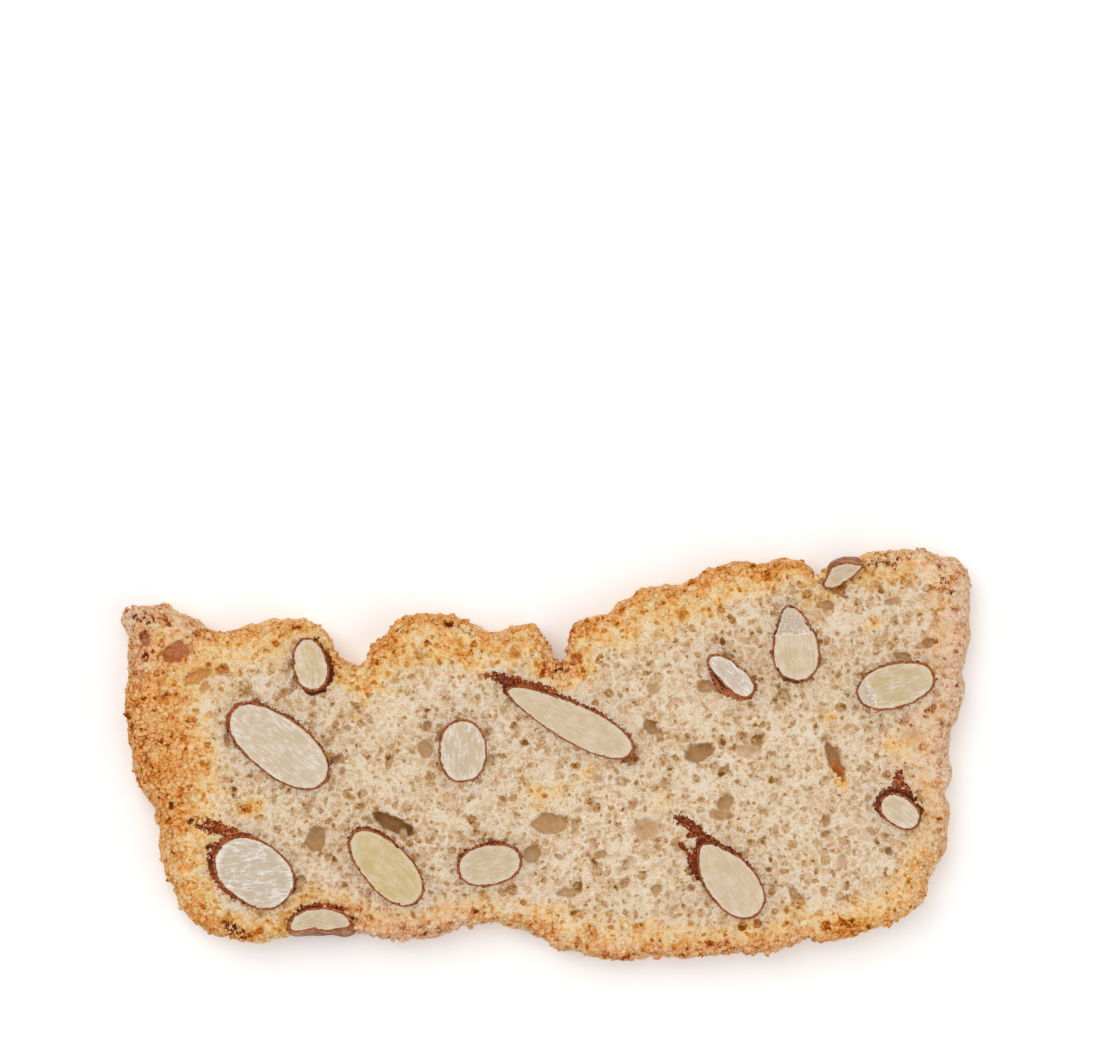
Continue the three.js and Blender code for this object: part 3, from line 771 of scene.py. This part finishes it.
def pore_pockets():
    """The pores that the model's front face has: the outline of each, and its depth."""
    corners = node_triangles("crumb").reshape(-1, 3)
    almond_middles = [section_loops(name, BY_FRONT)[0].mean(0) for name in ALMONDS]
    pockets = []
    for loop in section_loops("crumb", BY_FRONT)[1:]:
        if distance_inside(np.array(almond_middles), loop).max() > 0:
            continue
        within = ((corners[:, :2] > loop.min(0)) & (corners[:, :2] < loop.max(0))).all(1)
        pockets.append((loop, THICKNESS - corners[within, 2].min()))
    return pockets


def front_relief():
    """The front cut face: foam, the model's pores and finer ones, almond rims and bits of skin."""
    relief = Relief(THICKNESS, 100)
    for loop, deep in pore_pockets():
        shares = [share for x, y, share in SHALLOW_PORES if math.dist(loop.mean(0), (x, y)) < 1.5]
        relief.carve_loop(loop, min([PORE_SHARE, *shares]) * deep)
    for pore in SMALL_PORES:
        relief.carve_oval(*pore)
    for name in ALMONDS:
        looks = looks_of(name)
        loop = almond_loops[name]
        relief.set_in_almond(loop, looks, meat_loop(loop, looks) if looks["shrunk"] else None)
    for tail in SKIN_TAILS:
        relief.add_tail(*tail)
    return relief


def back_relief():
    """The back cut face: foam, with a rim wherever an almond comes through."""
    relief = Relief(0, 200)
    for name in ALMONDS:
        for loop in section_loops(name, BY_BACK)[:1]:
            relief.set_in_almond(loop, looks_of(name))
    return relief


NEAR_RIM = 3  # from the rim, within which a sheet's points are tested against the ring itself
ROW_SHARE = 0.866  # of the spacing, between staggered rows: nearly even triangles


def face_sheet(ring, relief, spacing, fewest):
    """Points and triangles that fill a ring. The points lie in staggered rows, all of them where
    the face is steep or has skin and at least the share `fewest` where it is even, joined by
    Delaunay's rule; the ring's own points come first."""
    rng = np.random.default_rng(60)
    row_gap = ROW_SHARE * spacing
    rows = int(np.ptp(ring[:, 1]) / row_gap) + 1
    columns = int(np.ptp(ring[:, 0]) / spacing) + 1
    x, y = np.meshgrid(np.arange(columns), np.arange(rows))
    staggered = np.stack([(x + 0.5 * (y % 2)) * spacing, y * row_gap], -1)
    points = staggered.reshape(-1, 2) + ring.min(0)
    points += rng.uniform(-0.2, 0.2, points.shape) * spacing
    points = points[from_rim(points) > -NEAR_RIM]
    gradient = np.hypot(*np.gradient(relief.depth, relief.grid.step))
    steep = ease(relief.read(gradient, points), 0.15, 1.1)
    chance = fewest + (1 - fewest) * np.maximum(steep, relief.read(relief.skin, points))
    points = points[rng.uniform(0, 1, len(points)) < chance]
    by_edge = from_rim(points) < NEAR_RIM
    clear = np.ones(len(points), dtype=bool)
    clear[by_edge] = distance_inside(points[by_edge], ring[::2]) > 0.6 * spacing
    everything = np.vstack([ring, points[clear]])
    made = delaunay_2d_cdt(everything.tolist(), [], [list(range(len(ring)))], 1, 1e-7)
    return everything, np.array(made[2], dtype=np.int32)


# ---- The crumb with its crust ----

front = front_relief()
back = back_relief()


def crumb_piece(material):
    """The crumb and its crust as one closed mesh: the rings of the rim, and a sheet that fills the
    first and the last of them. A sheet lies below its face's plane by the relief's depth and the
    rounding of the rim."""
    rim, crumbly = rim_points()
    rim_count = RIM_STATIONS * RIM_LEVELS
    top, top_faces = face_sheet(rim[0, :, :2], front, spacing=0.29, fewest=0.12)
    base, base_faces = face_sheet(rim[-1, :, :2], back, spacing=0.6, fewest=0.3)
    none = np.zeros(rim_count)
    at_end = ease(np.abs(rim[..., 0]), 66, 73)
    low_down = ease(-rim[..., 2], -0.7 * THICKNESS, -0.4 * THICKNESS)
    skin = front.read(front.skin, rim[..., :2]) * (rim[..., 2] > THICKNESS - 1.5)
    pieces = [rim.reshape(-1, 3)]
    shades = {
        "hollow": [none], "floor": [none], "by_almond": [none], "skin_warmth": [none + 0.4],
        "skin": [skin.ravel()],
        "outer_crust": [((1 - crumbly) * np.maximum(at_end, low_down)).ravel()],
    }
    for sheet, relief, way in ((top, front, -1), (base, back, 1)):
        inner = sheet[RIM_STATIONS:]
        depth = relief.read(relief.depth, inner).clip(-ABOVE_FACE if way < 0 else 0)
        pieces.append(np.column_stack([inner, relief.height + way * (depth + rim_drop(inner))]))
        shades["hollow"].append(depth)
        shades["outer_crust"].append(np.zeros(len(inner)))
        for shade, values in (("floor", relief.floor), ("skin", relief.skin),
                              ("skin_warmth", relief.warmth), ("by_almond", relief.by_almond)):
            shades[shade].append(relief.read(values, inner))
    points = np.vstack(pieces)
    shades = {name: np.concatenate(values) for name, values in shades.items()}
    inside = from_rim(points[:, :2])
    shades["toast"], shades["rosy"] = toasting(points[:, :2], inside)
    front_index = np.r_[np.arange(RIM_STATIONS), rim_count + np.arange(len(top) - RIM_STATIONS)]
    back_index = np.r_[np.arange(RIM_STATIONS) + rim_count - RIM_STATIONS,
                       rim_count + len(top) - RIM_STATIONS + np.arange(len(base) - RIM_STATIONS)]
    faces = np.vstack([
        front_index[top_faces],
        back_index[base_faces][:, ::-1],
        quads(RIM_LEVELS, RIM_STATIONS)[:, ::-1],
    ])
    return make_piece("crumb_and_crust", points, faces, material, shades)


# Colours from light to dark for the crumb, by how much shade a spot lies in; from dark to light for
# the outer crust, by its own pattern; and from purple to orange for the skin, by its warmth.
PLAIN = [(0, "F3E5CF"), (0.2, "E7C9A4"), (0.45, "D1A97A"), (0.7, "B6874E"), (1, "885A22")]
GOLDEN = [(0, "F8DCAC"), (0.2, "F2C680"), (0.45, "E6A44A"), (0.7, "CC7822"), (1, "994A06")]
BROWN = [(0, "F6C284"), (0.2, "EDA24E"), (0.45, "D67A28"), (0.7, "AE5010"), (1, "763004")]
ROSY = [(0, "F2D6C2"), (0.35, "E6BA9B"), (0.6, "CC9470"), (0.85, "9A6048"), (1, "784232")]
OUTER_CRUST = [(0.1, "8E5230"), (0.35, "C88C50"), (0.6, "E0B07A"), (0.9, "EED0A4")]
SKIN = [(0, "522C24"), (0.3, "743422"), (0.55, "A04A24"), (0.8, "BA6432"), (1, "D09060")]


def crumb_material(name, scattering):
    """Colour by how far a spot lies in the shade of the foam, along three ramps: plain crumb,
    golden and brown, mixed by the toasting. Light scatters inside only where that is asked for:
    small grains would let the red through and look green."""
    shader = Shader(name)
    place = shader.place()
    hollow, floor, toast, rosiness, skin, warmth, by_almond, outer = (
        shader.shade(carried) for carried in
        ("hollow", "floor", "toast", "rosy", "skin", "skin_warmth", "by_almond", "outer_crust"))

    # Painted shade and light of the foam: how much shade a spot lies in, darker in bubbles and pores of the
    # mesh and in finer pits, holes, cell middles and crevices between clumps drawn here, lighter on threads
    # and glints; its noise adds uneven tone too.
    torn = shader.shifted(place, 2.2, 0.7)
    grain = shader.noise(place, 0.45, 3.0, 0.7)
    patch = shader.noise(place, 5.0, 2.0)
    hollow = hollow + (grain - 0.5) * hollow.ease(0.4, 1.5) * 1.3
    rough = 1 - floor * 0.75
    cut_cells = shader.pits(torn, 3.0, 0.1, 0.36, 0.1, 0.55) \
        + shader.pits(torn, 1.9, 0.12, 0.44, -0.1, 0.5) \
        + shader.pits(torn, 1.2, 0.14, 0.46, -0.2, 0.5) \
        + shader.pits(torn, 0.7, 0.12, 0.42, -0.3, 0.35)
    holes = shader.noise(torn, 1.1, 3.0, 0.6).ease(0.52, 0.62)
    threads = shader.threads(torn, 0.9) + shader.threads(torn, 0.5) * 0.7
    glints = grain.ease(0.54, 0.68)
    clumps = shader.cells(torn, 1.5).ease(0.02, 0.2)
    walled = shader.cells(torn, 1.8).ease(0.03, 0.3) * shader.noise(place, 3.5, 2.0).ease(0.3, 0.6)
    shade = hollow.ease(0.15, 1.2) * 0.34 + hollow.ease(1.2, 3.0) * 0.2 \
        + cut_cells * rough * (0.92 + toast * 0.15) + holes * rough * 0.14 - threads * rough * 0.22 \
        + (grain - 0.5) * (rough * toast * 0.5 + 0.5) * -1 - glints * rough * 0.1 \
        + walled * rough * (1 - toast * 0.6) * 0.24 \
        + (patch - 0.5) * (toast * 0.4 + 0.35) + (1 - clumps) * toast * 0.3 + 0.12 - toast * 0.15

    # Plain, golden and brown crumb by the toasting, the pores' smooth floors painted darker as shade of the
    # recess and browner where toasted, and rosy crust.
    spread = shader.noise(place, 2.4, 4.0, 0.65).ease(0.32, 0.66)
    uneven = 0.5 + (spread * rough + 0.5 * (1 - rough)) * 1.1
    browning = toast * uneven + (grain - 0.5) * toast * rough * 0.8 + (patch - 0.5) * toast * rough
    tone = shader.mix(browning.ease(0.03, 0.4), shader.ramp(shade, *PLAIN), shader.ramp(shade, *GOLDEN))
    tone = shader.mix(browning.ease(0.4, 1.0), tone, shader.ramp(shade, *BROWN))
    tone = shader.mix(floor * (1 - toast) * 0.2, tone, colour("A88868"))
    tone = shader.mix(floor * toast.ease(0.3, 0.9) * 0.85, tone, colour("B86C3E"))
    rosy = shader.ramp(shade + (spread - 0.5) * 0.6 - 0.02, *ROSY)
    tone = shader.mix(rosiness * 0.9, tone, rosy)

    # Greyer crumb with flecks of skin beside the almonds.
    tone = shader.mix(by_almond * 0.7, tone, colour("E4DEDC"), "MULTIPLY")
    flecks = shader.noise(place, 0.5, 3.0, 0.65).ease(0.55, 0.64) * by_almond.ease(0.2, 0.85)
    tone = shader.mix(flecks * 0.75, tone, colour("7C5A50"))

    # The smooth outer crust, low on the sides and at the two ends.
    crust = shader.ramp(spread * 0.5 + grain * 0.5 + (clumps - 0.5) * 0.2, *OUTER_CRUST)
    tone = shader.mix((outer + (spread - 0.5) * outer * 1.2).ease(0.15, 1.1) * 0.8, tone, crust)

    # Brown almond skin, painted darker in hollows as painted shade, and lighter on the smooth hull of a
    # shrunken almond.
    mottle = (shader.noise(place, 0.6, 3.0, 0.75) - 0.5) * (1 - floor * 0.75) * 3.0 - 0.08
    skin_tone = shader.ramp(warmth + mottle, *SKIN)
    skin_tone = shader.mix(floor * 0.65, skin_tone, colour("BC7A56"))
    skin_tone = shader.mix(hollow.ease(0.3, 1.4) * 0.7, skin_tone, colour("3C1E18"))
    torn_skin = skin + (shader.noise(place, 0.7, 3.0, 0.7) - 0.5) * (1 - floor * 0.8) * 2.4
    tone = shader.mix(torn_skin.ease(0.42, 0.58), tone, skin_tone)

    height = (1 - cut_cells * 0.8 - walled * 0.4) * rough + threads * 0.3 + grain * (0.5 + rough)
    normal = shader.bump(height, 0.25 * MM, 0.7)
    return shader.finish(Base_Color=tone, Roughness=0.9, Specular_IOR_Level=0.02, Normal=normal,
                         Subsurface_Weight=scattering, Subsurface_Radius=(1.0, 0.6, 0.35),
                         Subsurface_Scale=0.5 * MM)


crumb_look = crumb_material("toasted_crumb", 0.4)
crumb = crumb_piece(crumb_look)
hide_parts("crumb")


# ---- Loose-looking grains of crumb and skin that stand on the slice ----

HIGHEST = THICKNESS + 0.22  # that anything reaches
LUMP_CORNERS = 12


def lumps(places, sizes, flatness, seed):
    """A small lump at each place: twenty-faced balls, each stretched and turned at random, with
    every corner moved in or out a little, and flattened by a share of their height. Gives their
    points and triangles."""
    rng = np.random.default_rng(seed)
    golden_ratio = (1 + 5 ** 0.5) / 2
    corners = np.array([
        [-1, golden_ratio, 0], [1, golden_ratio, 0], [-1, -golden_ratio, 0], [1, -golden_ratio, 0],
        [0, -1, golden_ratio], [0, 1, golden_ratio], [0, -1, -golden_ratio], [0, 1, -golden_ratio],
        [golden_ratio, 0, -1], [golden_ratio, 0, 1], [-golden_ratio, 0, -1], [-golden_ratio, 0, 1],
    ]) / math.hypot(1, golden_ratio)
    triangles = np.array([
        [0, 11, 5], [0, 5, 1], [0, 1, 7], [0, 7, 10], [0, 10, 11], [1, 5, 9], [5, 11, 4],
        [11, 10, 2], [10, 7, 6], [7, 1, 8], [3, 9, 4], [3, 4, 2], [3, 2, 6], [3, 6, 8], [3, 8, 9],
        [4, 9, 5], [2, 4, 11], [6, 2, 10], [8, 6, 7], [9, 8, 1],
    ])
    count = len(places)
    turns = np.linalg.qr(rng.normal(size=(count, 3, 3)))[0]
    turns[..., 0] *= np.linalg.det(turns)[:, None]
    stretched = corners * rng.uniform(0.7, 1.3, (count, 1, 3))
    stretched = stretched * rng.uniform(0.75, 1.2, (count, LUMP_CORNERS, 1))
    points = np.einsum("nij,nkj->nki", turns, stretched) * sizes[:, None, None] / 2
    points[..., 2] *= flatness
    points += places[:, None]
    points[..., 2] = np.minimum(points[..., 2], HIGHEST)
    faces = triangles + LUMP_CORNERS * np.arange(count)[:, None, None]
    return points.reshape(-1, 3), faces.reshape(-1, 3)


GRAIN_TRIES, FLAKE_TRIES = 60000, 120000  # places drawn, of which a few are kept
GRAINS_ON_FACE = 1500  # at most, on the toasted parts of the front cut face
GRAINS_ON_RIM = 2600  # on the crust near the front cut face
FLAKES = 1500  # at most


def loose_shades(count, **given):
    """Everything that the crumb's material reads, for loose bits: nothing but what is given."""
    names = ("hollow", "floor", "outer_crust", "skin", "skin_warmth", "by_almond", "toast", "rosy")
    return {name: given.get(name, np.zeros(count)) for name in names}


def face_height(flat):
    """Height of the front cut face at places inside its rim."""
    return THICKNESS - front.read(front.depth, flat).clip(-ABOVE_FACE) - rim_drop(flat)


def crust_grains(material):
    """Grains of toasted crumb, thickest where the slice is most toasted."""
    rng = np.random.default_rng(300)
    flat = rng.uniform(LOW[:2], HIGH[:2], (GRAIN_TRIES, 2))
    inside = from_rim(flat)
    toast, rosy = toasting(flat, inside)
    on_almond = front.read(front.by_almond, flat) > 0.9
    in_pore = front.read(front.floor, flat) > 0.2
    chance = toast ** 2 * 0.6 + rosy ** 2 * 0.15
    keep = (inside > 0.2) & ~on_almond & ~in_pore & (rng.uniform(0, 1, len(flat)) < chance)
    flat = flat[keep][:GRAINS_ON_FACE]
    on_face = np.column_stack([flat, face_height(flat)])
    rim, _ = rim_points()
    toasted = toasting(rim[0, :, :2], np.zeros(RIM_STATIONS))[0] * ease(by_almonds, 0.3, 1.5)
    station = rng.choice(RIM_STATIONS, GRAINS_ON_RIM, p=toasted / toasted.sum())
    level = (rng.uniform(0, 1, GRAINS_ON_RIM) ** 1.5 * 5).astype(int)
    places = np.vstack([on_face, rim[level, station]])
    sizes = 0.4 + 1.2 * rng.uniform(0, 1, len(places)) ** 1.8
    places[:, 2] = np.minimum(places[:, 2], HIGHEST - 0.5 * sizes)
    points, faces = lumps(places, sizes, 0.85, 301)
    inside = from_rim(points[:, :2])
    toast, rosy = toasting(points[:, :2], inside)
    tint = np.repeat(rng.uniform(-0.2, 0.35, len(places)), LUMP_CORNERS)
    shades = loose_shades(len(points), toast=(toast + tint).clip(0.35), rosy=rosy)
    return make_piece("crust_grains", points, faces, material, shades)


def skin_flakes(material):
    """Bits of brown skin beside the almonds' rims and in the torn patches of skin."""
    rng = np.random.default_rng(310)
    flat = rng.uniform(LOW[:2], HIGH[:2], (FLAKE_TRIES, 2))
    skin = front.read(front.skin, flat)
    near = front.read(front.by_almond, flat)
    clustered = ease(layered_noise(flat, 2.5, 312), 0.1, 0.5)
    chance = (0.35 * (skin > 0.3) + 0.12 * (near > 0.72) * clustered) * (near < 0.93)
    keep = (from_rim(flat) > 0.3) & (front.read(front.depth, flat) < 1) \
        & (rng.uniform(0, 1, len(flat)) < chance)
    flat = flat[keep][:FLAKES]
    sizes = rng.uniform(0.2, 0.55, len(flat))
    height = np.minimum(face_height(flat) + 0.05, HIGHEST - 0.5 * sizes)
    places = np.column_stack([flat, height])
    points, faces = lumps(places, sizes, 0.6, 311)
    tint = np.repeat(rng.uniform(-0.5, 0.4, len(places)), LUMP_CORNERS)
    warmth = front.read(front.warmth, points[:, :2]) + tint
    shades = loose_shades(len(points), skin=np.full(len(points), 2.0), skin_warmth=warmth)
    return make_piece("skin_flakes", points, faces, material, shades)


grain_look = crumb_material("loose_grains", 0.0)
crust_grains(grain_look)
skin_flakes(grain_look)


# ---- Almonds ----

ALMOND_SIDES = 160  # points round an almond
SKIN_OUT = 0.2  # how far an almond's skin reaches into the crumb
FACE_RINGS = [0, 0.15, 0.3, 0.45, 0.65, 0.9, 1.3, 1.8, 2.4]  # of a cut face: how far in from its rim
DIRECTIONS = np.linspace(-math.pi, math.pi, ALMOND_SIDES, endpoint=False)  # in radians
AROUND = np.stack([np.cos(DIRECTIONS), np.sin(DIRECTIONS)], 1)


def round_loop(loop, middle):
    """A loop's distance from a middle, in ALMOND_SIDES even directions."""
    across = walk_loop(loop, 720) - middle
    angle, reach = np.arctan2(across[:, 1], across[:, 0]), np.hypot(across[:, 0], across[:, 1])
    order = np.argsort(angle)
    return smooth_round(np.interp(DIRECTIONS, angle[order], reach[order], period=2 * math.pi), 1.5)


def ring_depths(reach):
    """How far in from its rim each ring of a cut face lies, the last close to the middle."""
    innermost = reach.min() * 0.92
    return [*[depth for depth in FACE_RINGS if depth < innermost], innermost]


def ring(flat, height, from_edge):
    """A ring of points: X and Y of each, and one height and distance from the cut face's rim."""
    return np.column_stack([flat, np.full(ALMOND_SIDES, height), np.full(ALMOND_SIDES, from_edge)])


def almond_rings(name, looks):
    """An almond as rings about a leaning middle line, by the model's own sections: a cut face whose
    rings run inwards from the rim, the sides, and the back cut face where the almond comes
    through it. Gives X, Y, Z and distance from the rim for each, and the front's outline."""
    low, high = (np.array(corner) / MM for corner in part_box(name))
    heights = [*np.linspace(high[2] - 0.5, low[2] + 0.4, 9), low[2] + 0.01]
    loops = [almond_loops[name]] + [section_loops(name, height)[0] for height in heights]
    loops = [meat_loop(loop, looks) for loop in loops]
    middles = [middle_of(loop) for loop in loops]
    edge, *reaches = [round_loop(loop, middle) for loop, middle in zip(loops, middles)]
    edge = edge + (0.13 * noise(AROUND * 3.5 + middles[0], 1.6, 85)
                   + 0.05 * noise(AROUND * 4 + middles[0], 0.5, 86))
    rings = []
    for depth in reversed(ring_depths(edge)):
        reach = edge - depth * edge / edge.mean() + SKIN_OUT * (depth == 0)
        rings.append(ring(middles[0] + AROUND * reach[:, None], THICKNESS, depth))
    for middle, reach, height in zip(middles[1:], reaches, heights):
        rings.append(ring(middle + AROUND * (reach + SKIN_OUT)[:, None], height, 0))
    if low[2] < 0.05:
        last, middle = reaches[-1], middles[-1]
        rings[-1][:, 2] = 0
        for depth in ring_depths(last)[1:]:
            reach = last - depth * last / last.mean()
            rings.append(ring(middle + AROUND * reach[:, None], 0, depth))
    return np.stack(rings), loops[0]


def almond_piece(name, material):
    """An almond's kernel: its rings, closed by a point in the middle of the first and the last.
    Its cut faces swell by noise and drop beyond a break, and its rim stands up a little."""
    looks = looks_of(name)
    rings, outline = almond_rings(name, looks)
    points, flat, height, from_edge = rings[..., :3], rings[..., :2], rings[..., 2].copy(), rings[..., 3]
    middle = middle_of(outline)
    on_face = (height > THICKNESS - 0.05) | (height < 0.05)
    up = np.where(height > THICKNESS / 2, 1, -1)
    thickness = 0.12 + 0.12 * skin_thickness(looks, np.degrees(DIRECTIONS)).clip(0, 1)
    beyond = in_frame(flat, *looks["step"])[0] if looks["step"] else np.full(height.shape, -9.0)
    swell = 0.05 * noise(flat, 3.0, 82) + 0.04 * noise(flat, 0.7, 83) - 0.15 * ease(beyond, 0, 1)
    rim_lift = 0.06 * ease(-from_edge, -0.45, 0) + 0.05 * layered_noise(flat, 0.5, 84) * (from_edge < 0.4)
    points[..., 2] += on_face * up * (swell + rim_lift)
    points[..., 2] = points[..., 2].clip(0.02, HIGHEST)
    turn = looks["marks"]
    if turn is None:
        long_axis = np.linalg.svd(walk_loop(outline, 200) - middle, full_matrices=False)[2][0]
        turn = math.degrees(math.atan2(long_axis[1], long_axis[0]))
    along, across = in_frame(flat, *middle, turn)

    caps = np.array([points[0].mean(0), points[-1].mean(0)])
    everything = np.vstack([points.reshape(-1, 3), caps])
    around = np.arange(ALMOND_SIDES)
    after = (around + 1) % ALMOND_SIDES
    first_cap, last_cap = (np.full(ALMOND_SIDES, len(everything) - k) for k in (2, 1))
    last_ring = (len(rings) - 1) * ALMOND_SIDES
    faces = np.vstack([
        quads(len(rings), ALMOND_SIDES)[:, ::-1],
        np.stack([first_cap, around, after], 1),
        np.stack([last_cap, last_ring + after, last_ring + around], 1),
    ])
    shades = {
        "from_edge": np.r_[from_edge.ravel(), from_edge[0].mean(), from_edge[-1].mean()],
        "skin_width": np.r_[np.broadcast_to(thickness, height.shape).ravel(), 0.3, 0.3],
        "beyond_break": np.r_[beyond.ravel(), beyond[0].mean(), -9],
        "along": np.r_[along.ravel(), along[0].mean(), 0],
        "across": np.r_[across.ravel(), across[0].mean(), 0],
        "side": np.r_[(~on_face).astype(float).ravel(), 0, 0],
        **{look: np.full(len(everything), looks[look]) for look in ("green", "chalk", "dull")},
    }
    piece = make_piece(name + "_kernel", everything, faces, material, shades)
    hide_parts(name)


def almond_material():
    """Ivory or green meat with knife marks and chalky dust, paler by its rim and rougher beyond a
    break, in a line of brown skin; the sides are skin with crumb baked on."""
    shader = Shader("almond_meat_and_skin")
    place = shader.place()
    green, chalk, dull, side, from_edge = (
        shader.shade(carried) for carried in ("green", "chalk", "dull", "side", "from_edge"))
    fibre = shader.node("ShaderNodeCombineXYZ", {}, {
        "X": shader.shade("along") * 0.24, "Y": shader.shade("across"), "Z": green * 9})
    streak = shader.noise(fibre, 0.4, 3.0, 0.65)
    cloud = shader.noise(place, 2.4, 3.0, 0.6)
    dust = shader.noise(place, 0.35, 3.0, 0.6)

    # The meat: ivory or green, with paler clouds, chalk and white knife marks.
    meat = shader.mix(green, colour("D0B899"), colour("CCB276"))
    meat = shader.mix((cloud + streak).ease(0.75, 1.3) * 0.6, meat, colour("E0D0BA"))
    meat = shader.mix(chalk.ease(0.3, 1.8), meat, colour("C8B6A2"))
    meat = shader.mix(dull * 0.7, meat, colour("B49A80"))
    scratches = streak.ease(0.44, 0.62) * 0.6 + dust.ease(0.5, 0.66) * 0.35
    pale = from_edge + (dust - 0.5) * 0.4
    frosty = cloud.ease(0.4, 0.62) * 0.85 + (1 - pale.ease(0.3, 1.7)) * 0.7 + 0.15
    meat = shader.mix(chalk * frosty * scratches, meat, colour("F0ECE8"))

    # The chalky step beyond a break, with a white line along the break, and the pale rim.
    beyond = shader.shade("beyond_break") + (shader.noise(place, 2.2, 3.0, 0.6) - 0.5) * 3
    chalky = shader.mix(dust.ease(0.4, 0.62), colour("BCA288"), colour("D8CABA"))
    meat = shader.mix(beyond.ease(0.0, 0.3) * 0.85, meat, chalky)
    meat = shader.mix(beyond.ease(-0.2, 0.1) * (1 - beyond.ease(0.1, 0.9)) * dust.ease(0.36, 0.56) * 0.8,
                      meat, colour("F0EAE2"))
    meat = shader.mix((1 - pale.ease(0.2, 1.3)) * 0.45, meat, colour("E0D2BC"))

    # The skin: a thin uneven line round the cut face, and the whole of the sides.
    width = shader.shade("skin_width") * (shader.noise(place, 1.1, 3.0, 0.6) * 2.2 - 0.1)
    line = 1 - (from_edge - width).ease(-0.05, 0.07)
    skin = shader.ramp(dust, (0.3, "52260E"), (0.45, "8C4418"), (0.6, "BC6A2C"), (0.72, "D08A50"))
    tone = shader.mix(line, meat, skin)
    crusty = shader.ramp((cloud + dust).ease(0.8, 1.25), (0, "743A20"), (0.5, "A06236"), (1, "CE9C6A"))
    tone = shader.mix(side * 0.9, tone, crusty)
    height = streak * 0.4 + dust * 0.5 + line * dust
    normal = shader.bump(height, 0.08 * MM, 1.0)
    return shader.finish(Base_Color=tone, Roughness=0.6, Specular_IOR_Level=0.25, Normal=normal,
                         Subsurface_Weight=0.3, Subsurface_Radius=(1.0, 0.7, 0.45),
                         Subsurface_Scale=1.2 * MM)


kernel_material = almond_material()
for almond in ALMONDS:
    almond_piece(almond, kernel_material)


# ---- Floor, light and camera ----

VIEW_WIDTH = 199.3  # how much of the wafer's plane the view takes in
CAMERA_FROM = np.array([0.5, 42.1, 1000.0])
FILM_WIDTH = 36.0
LAMP_SIZE = 0.9  # metres
LAMPS = {"key": ((-0.35, 0.45, 1.1), 7.3), "fill": ((0.6, -0.3, 0.9), 3.0)}  # place in metres, watts


def pale_floor():
    """A plain floor, a little brighter than its light makes it."""
    bpy.ops.mesh.primitive_plane_add(size=3.0)
    floor = bpy.context.object
    floor.name = "floor"
    pale = Shader("pale_floor").finish(Base_Color=(0.93, 0.93, 0.93, 1.0), Roughness=0.9,
                                       Emission_Color=(1, 1, 1, 1), Emission_Strength=0.12)
    floor.data.materials.append(pale)


def camera_above():
    """A camera that looks straight down: its lens follows from the width of the view."""
    camera = bpy.data.objects.new("camera", bpy.data.cameras.new("camera"))
    camera.location = CAMERA_FROM * MM
    camera.data.sensor_width = FILM_WIDTH
    camera.data.lens = FILM_WIDTH * (CAMERA_FROM[2] - THICKNESS) / VIEW_WIDTH
    camera.data.clip_start, camera.data.clip_end = 0.05, 10
    bpy.context.scene.collection.objects.link(camera)
    bpy.context.scene.camera = camera


def soft_light():
    """Two wide lamps that point at the wafer, in a bright world."""
    for name, (place, watts) in LAMPS.items():
        lamp = bpy.data.objects.new(name, bpy.data.lights.new(name, "AREA"))
        lamp.data.size, lamp.data.energy = LAMP_SIZE, watts
        lamp.location = place
        lamp.rotation_euler = (-lamp.location).to_track_quat("-Z", "Y").to_euler()
        bpy.context.scene.collection.objects.link(lamp)
    world = bpy.data.worlds.new("studio")
    world.use_nodes = True
    background = world.node_tree.nodes["Background"]
    background.inputs["Color"].default_value = (1, 1, 1, 1)
    background.inputs["Strength"].default_value = 0.5
    bpy.context.scene.world = world
    bpy.context.scene.view_settings.view_transform = "Standard"


pale_floor()
camera_above()
soft_light()
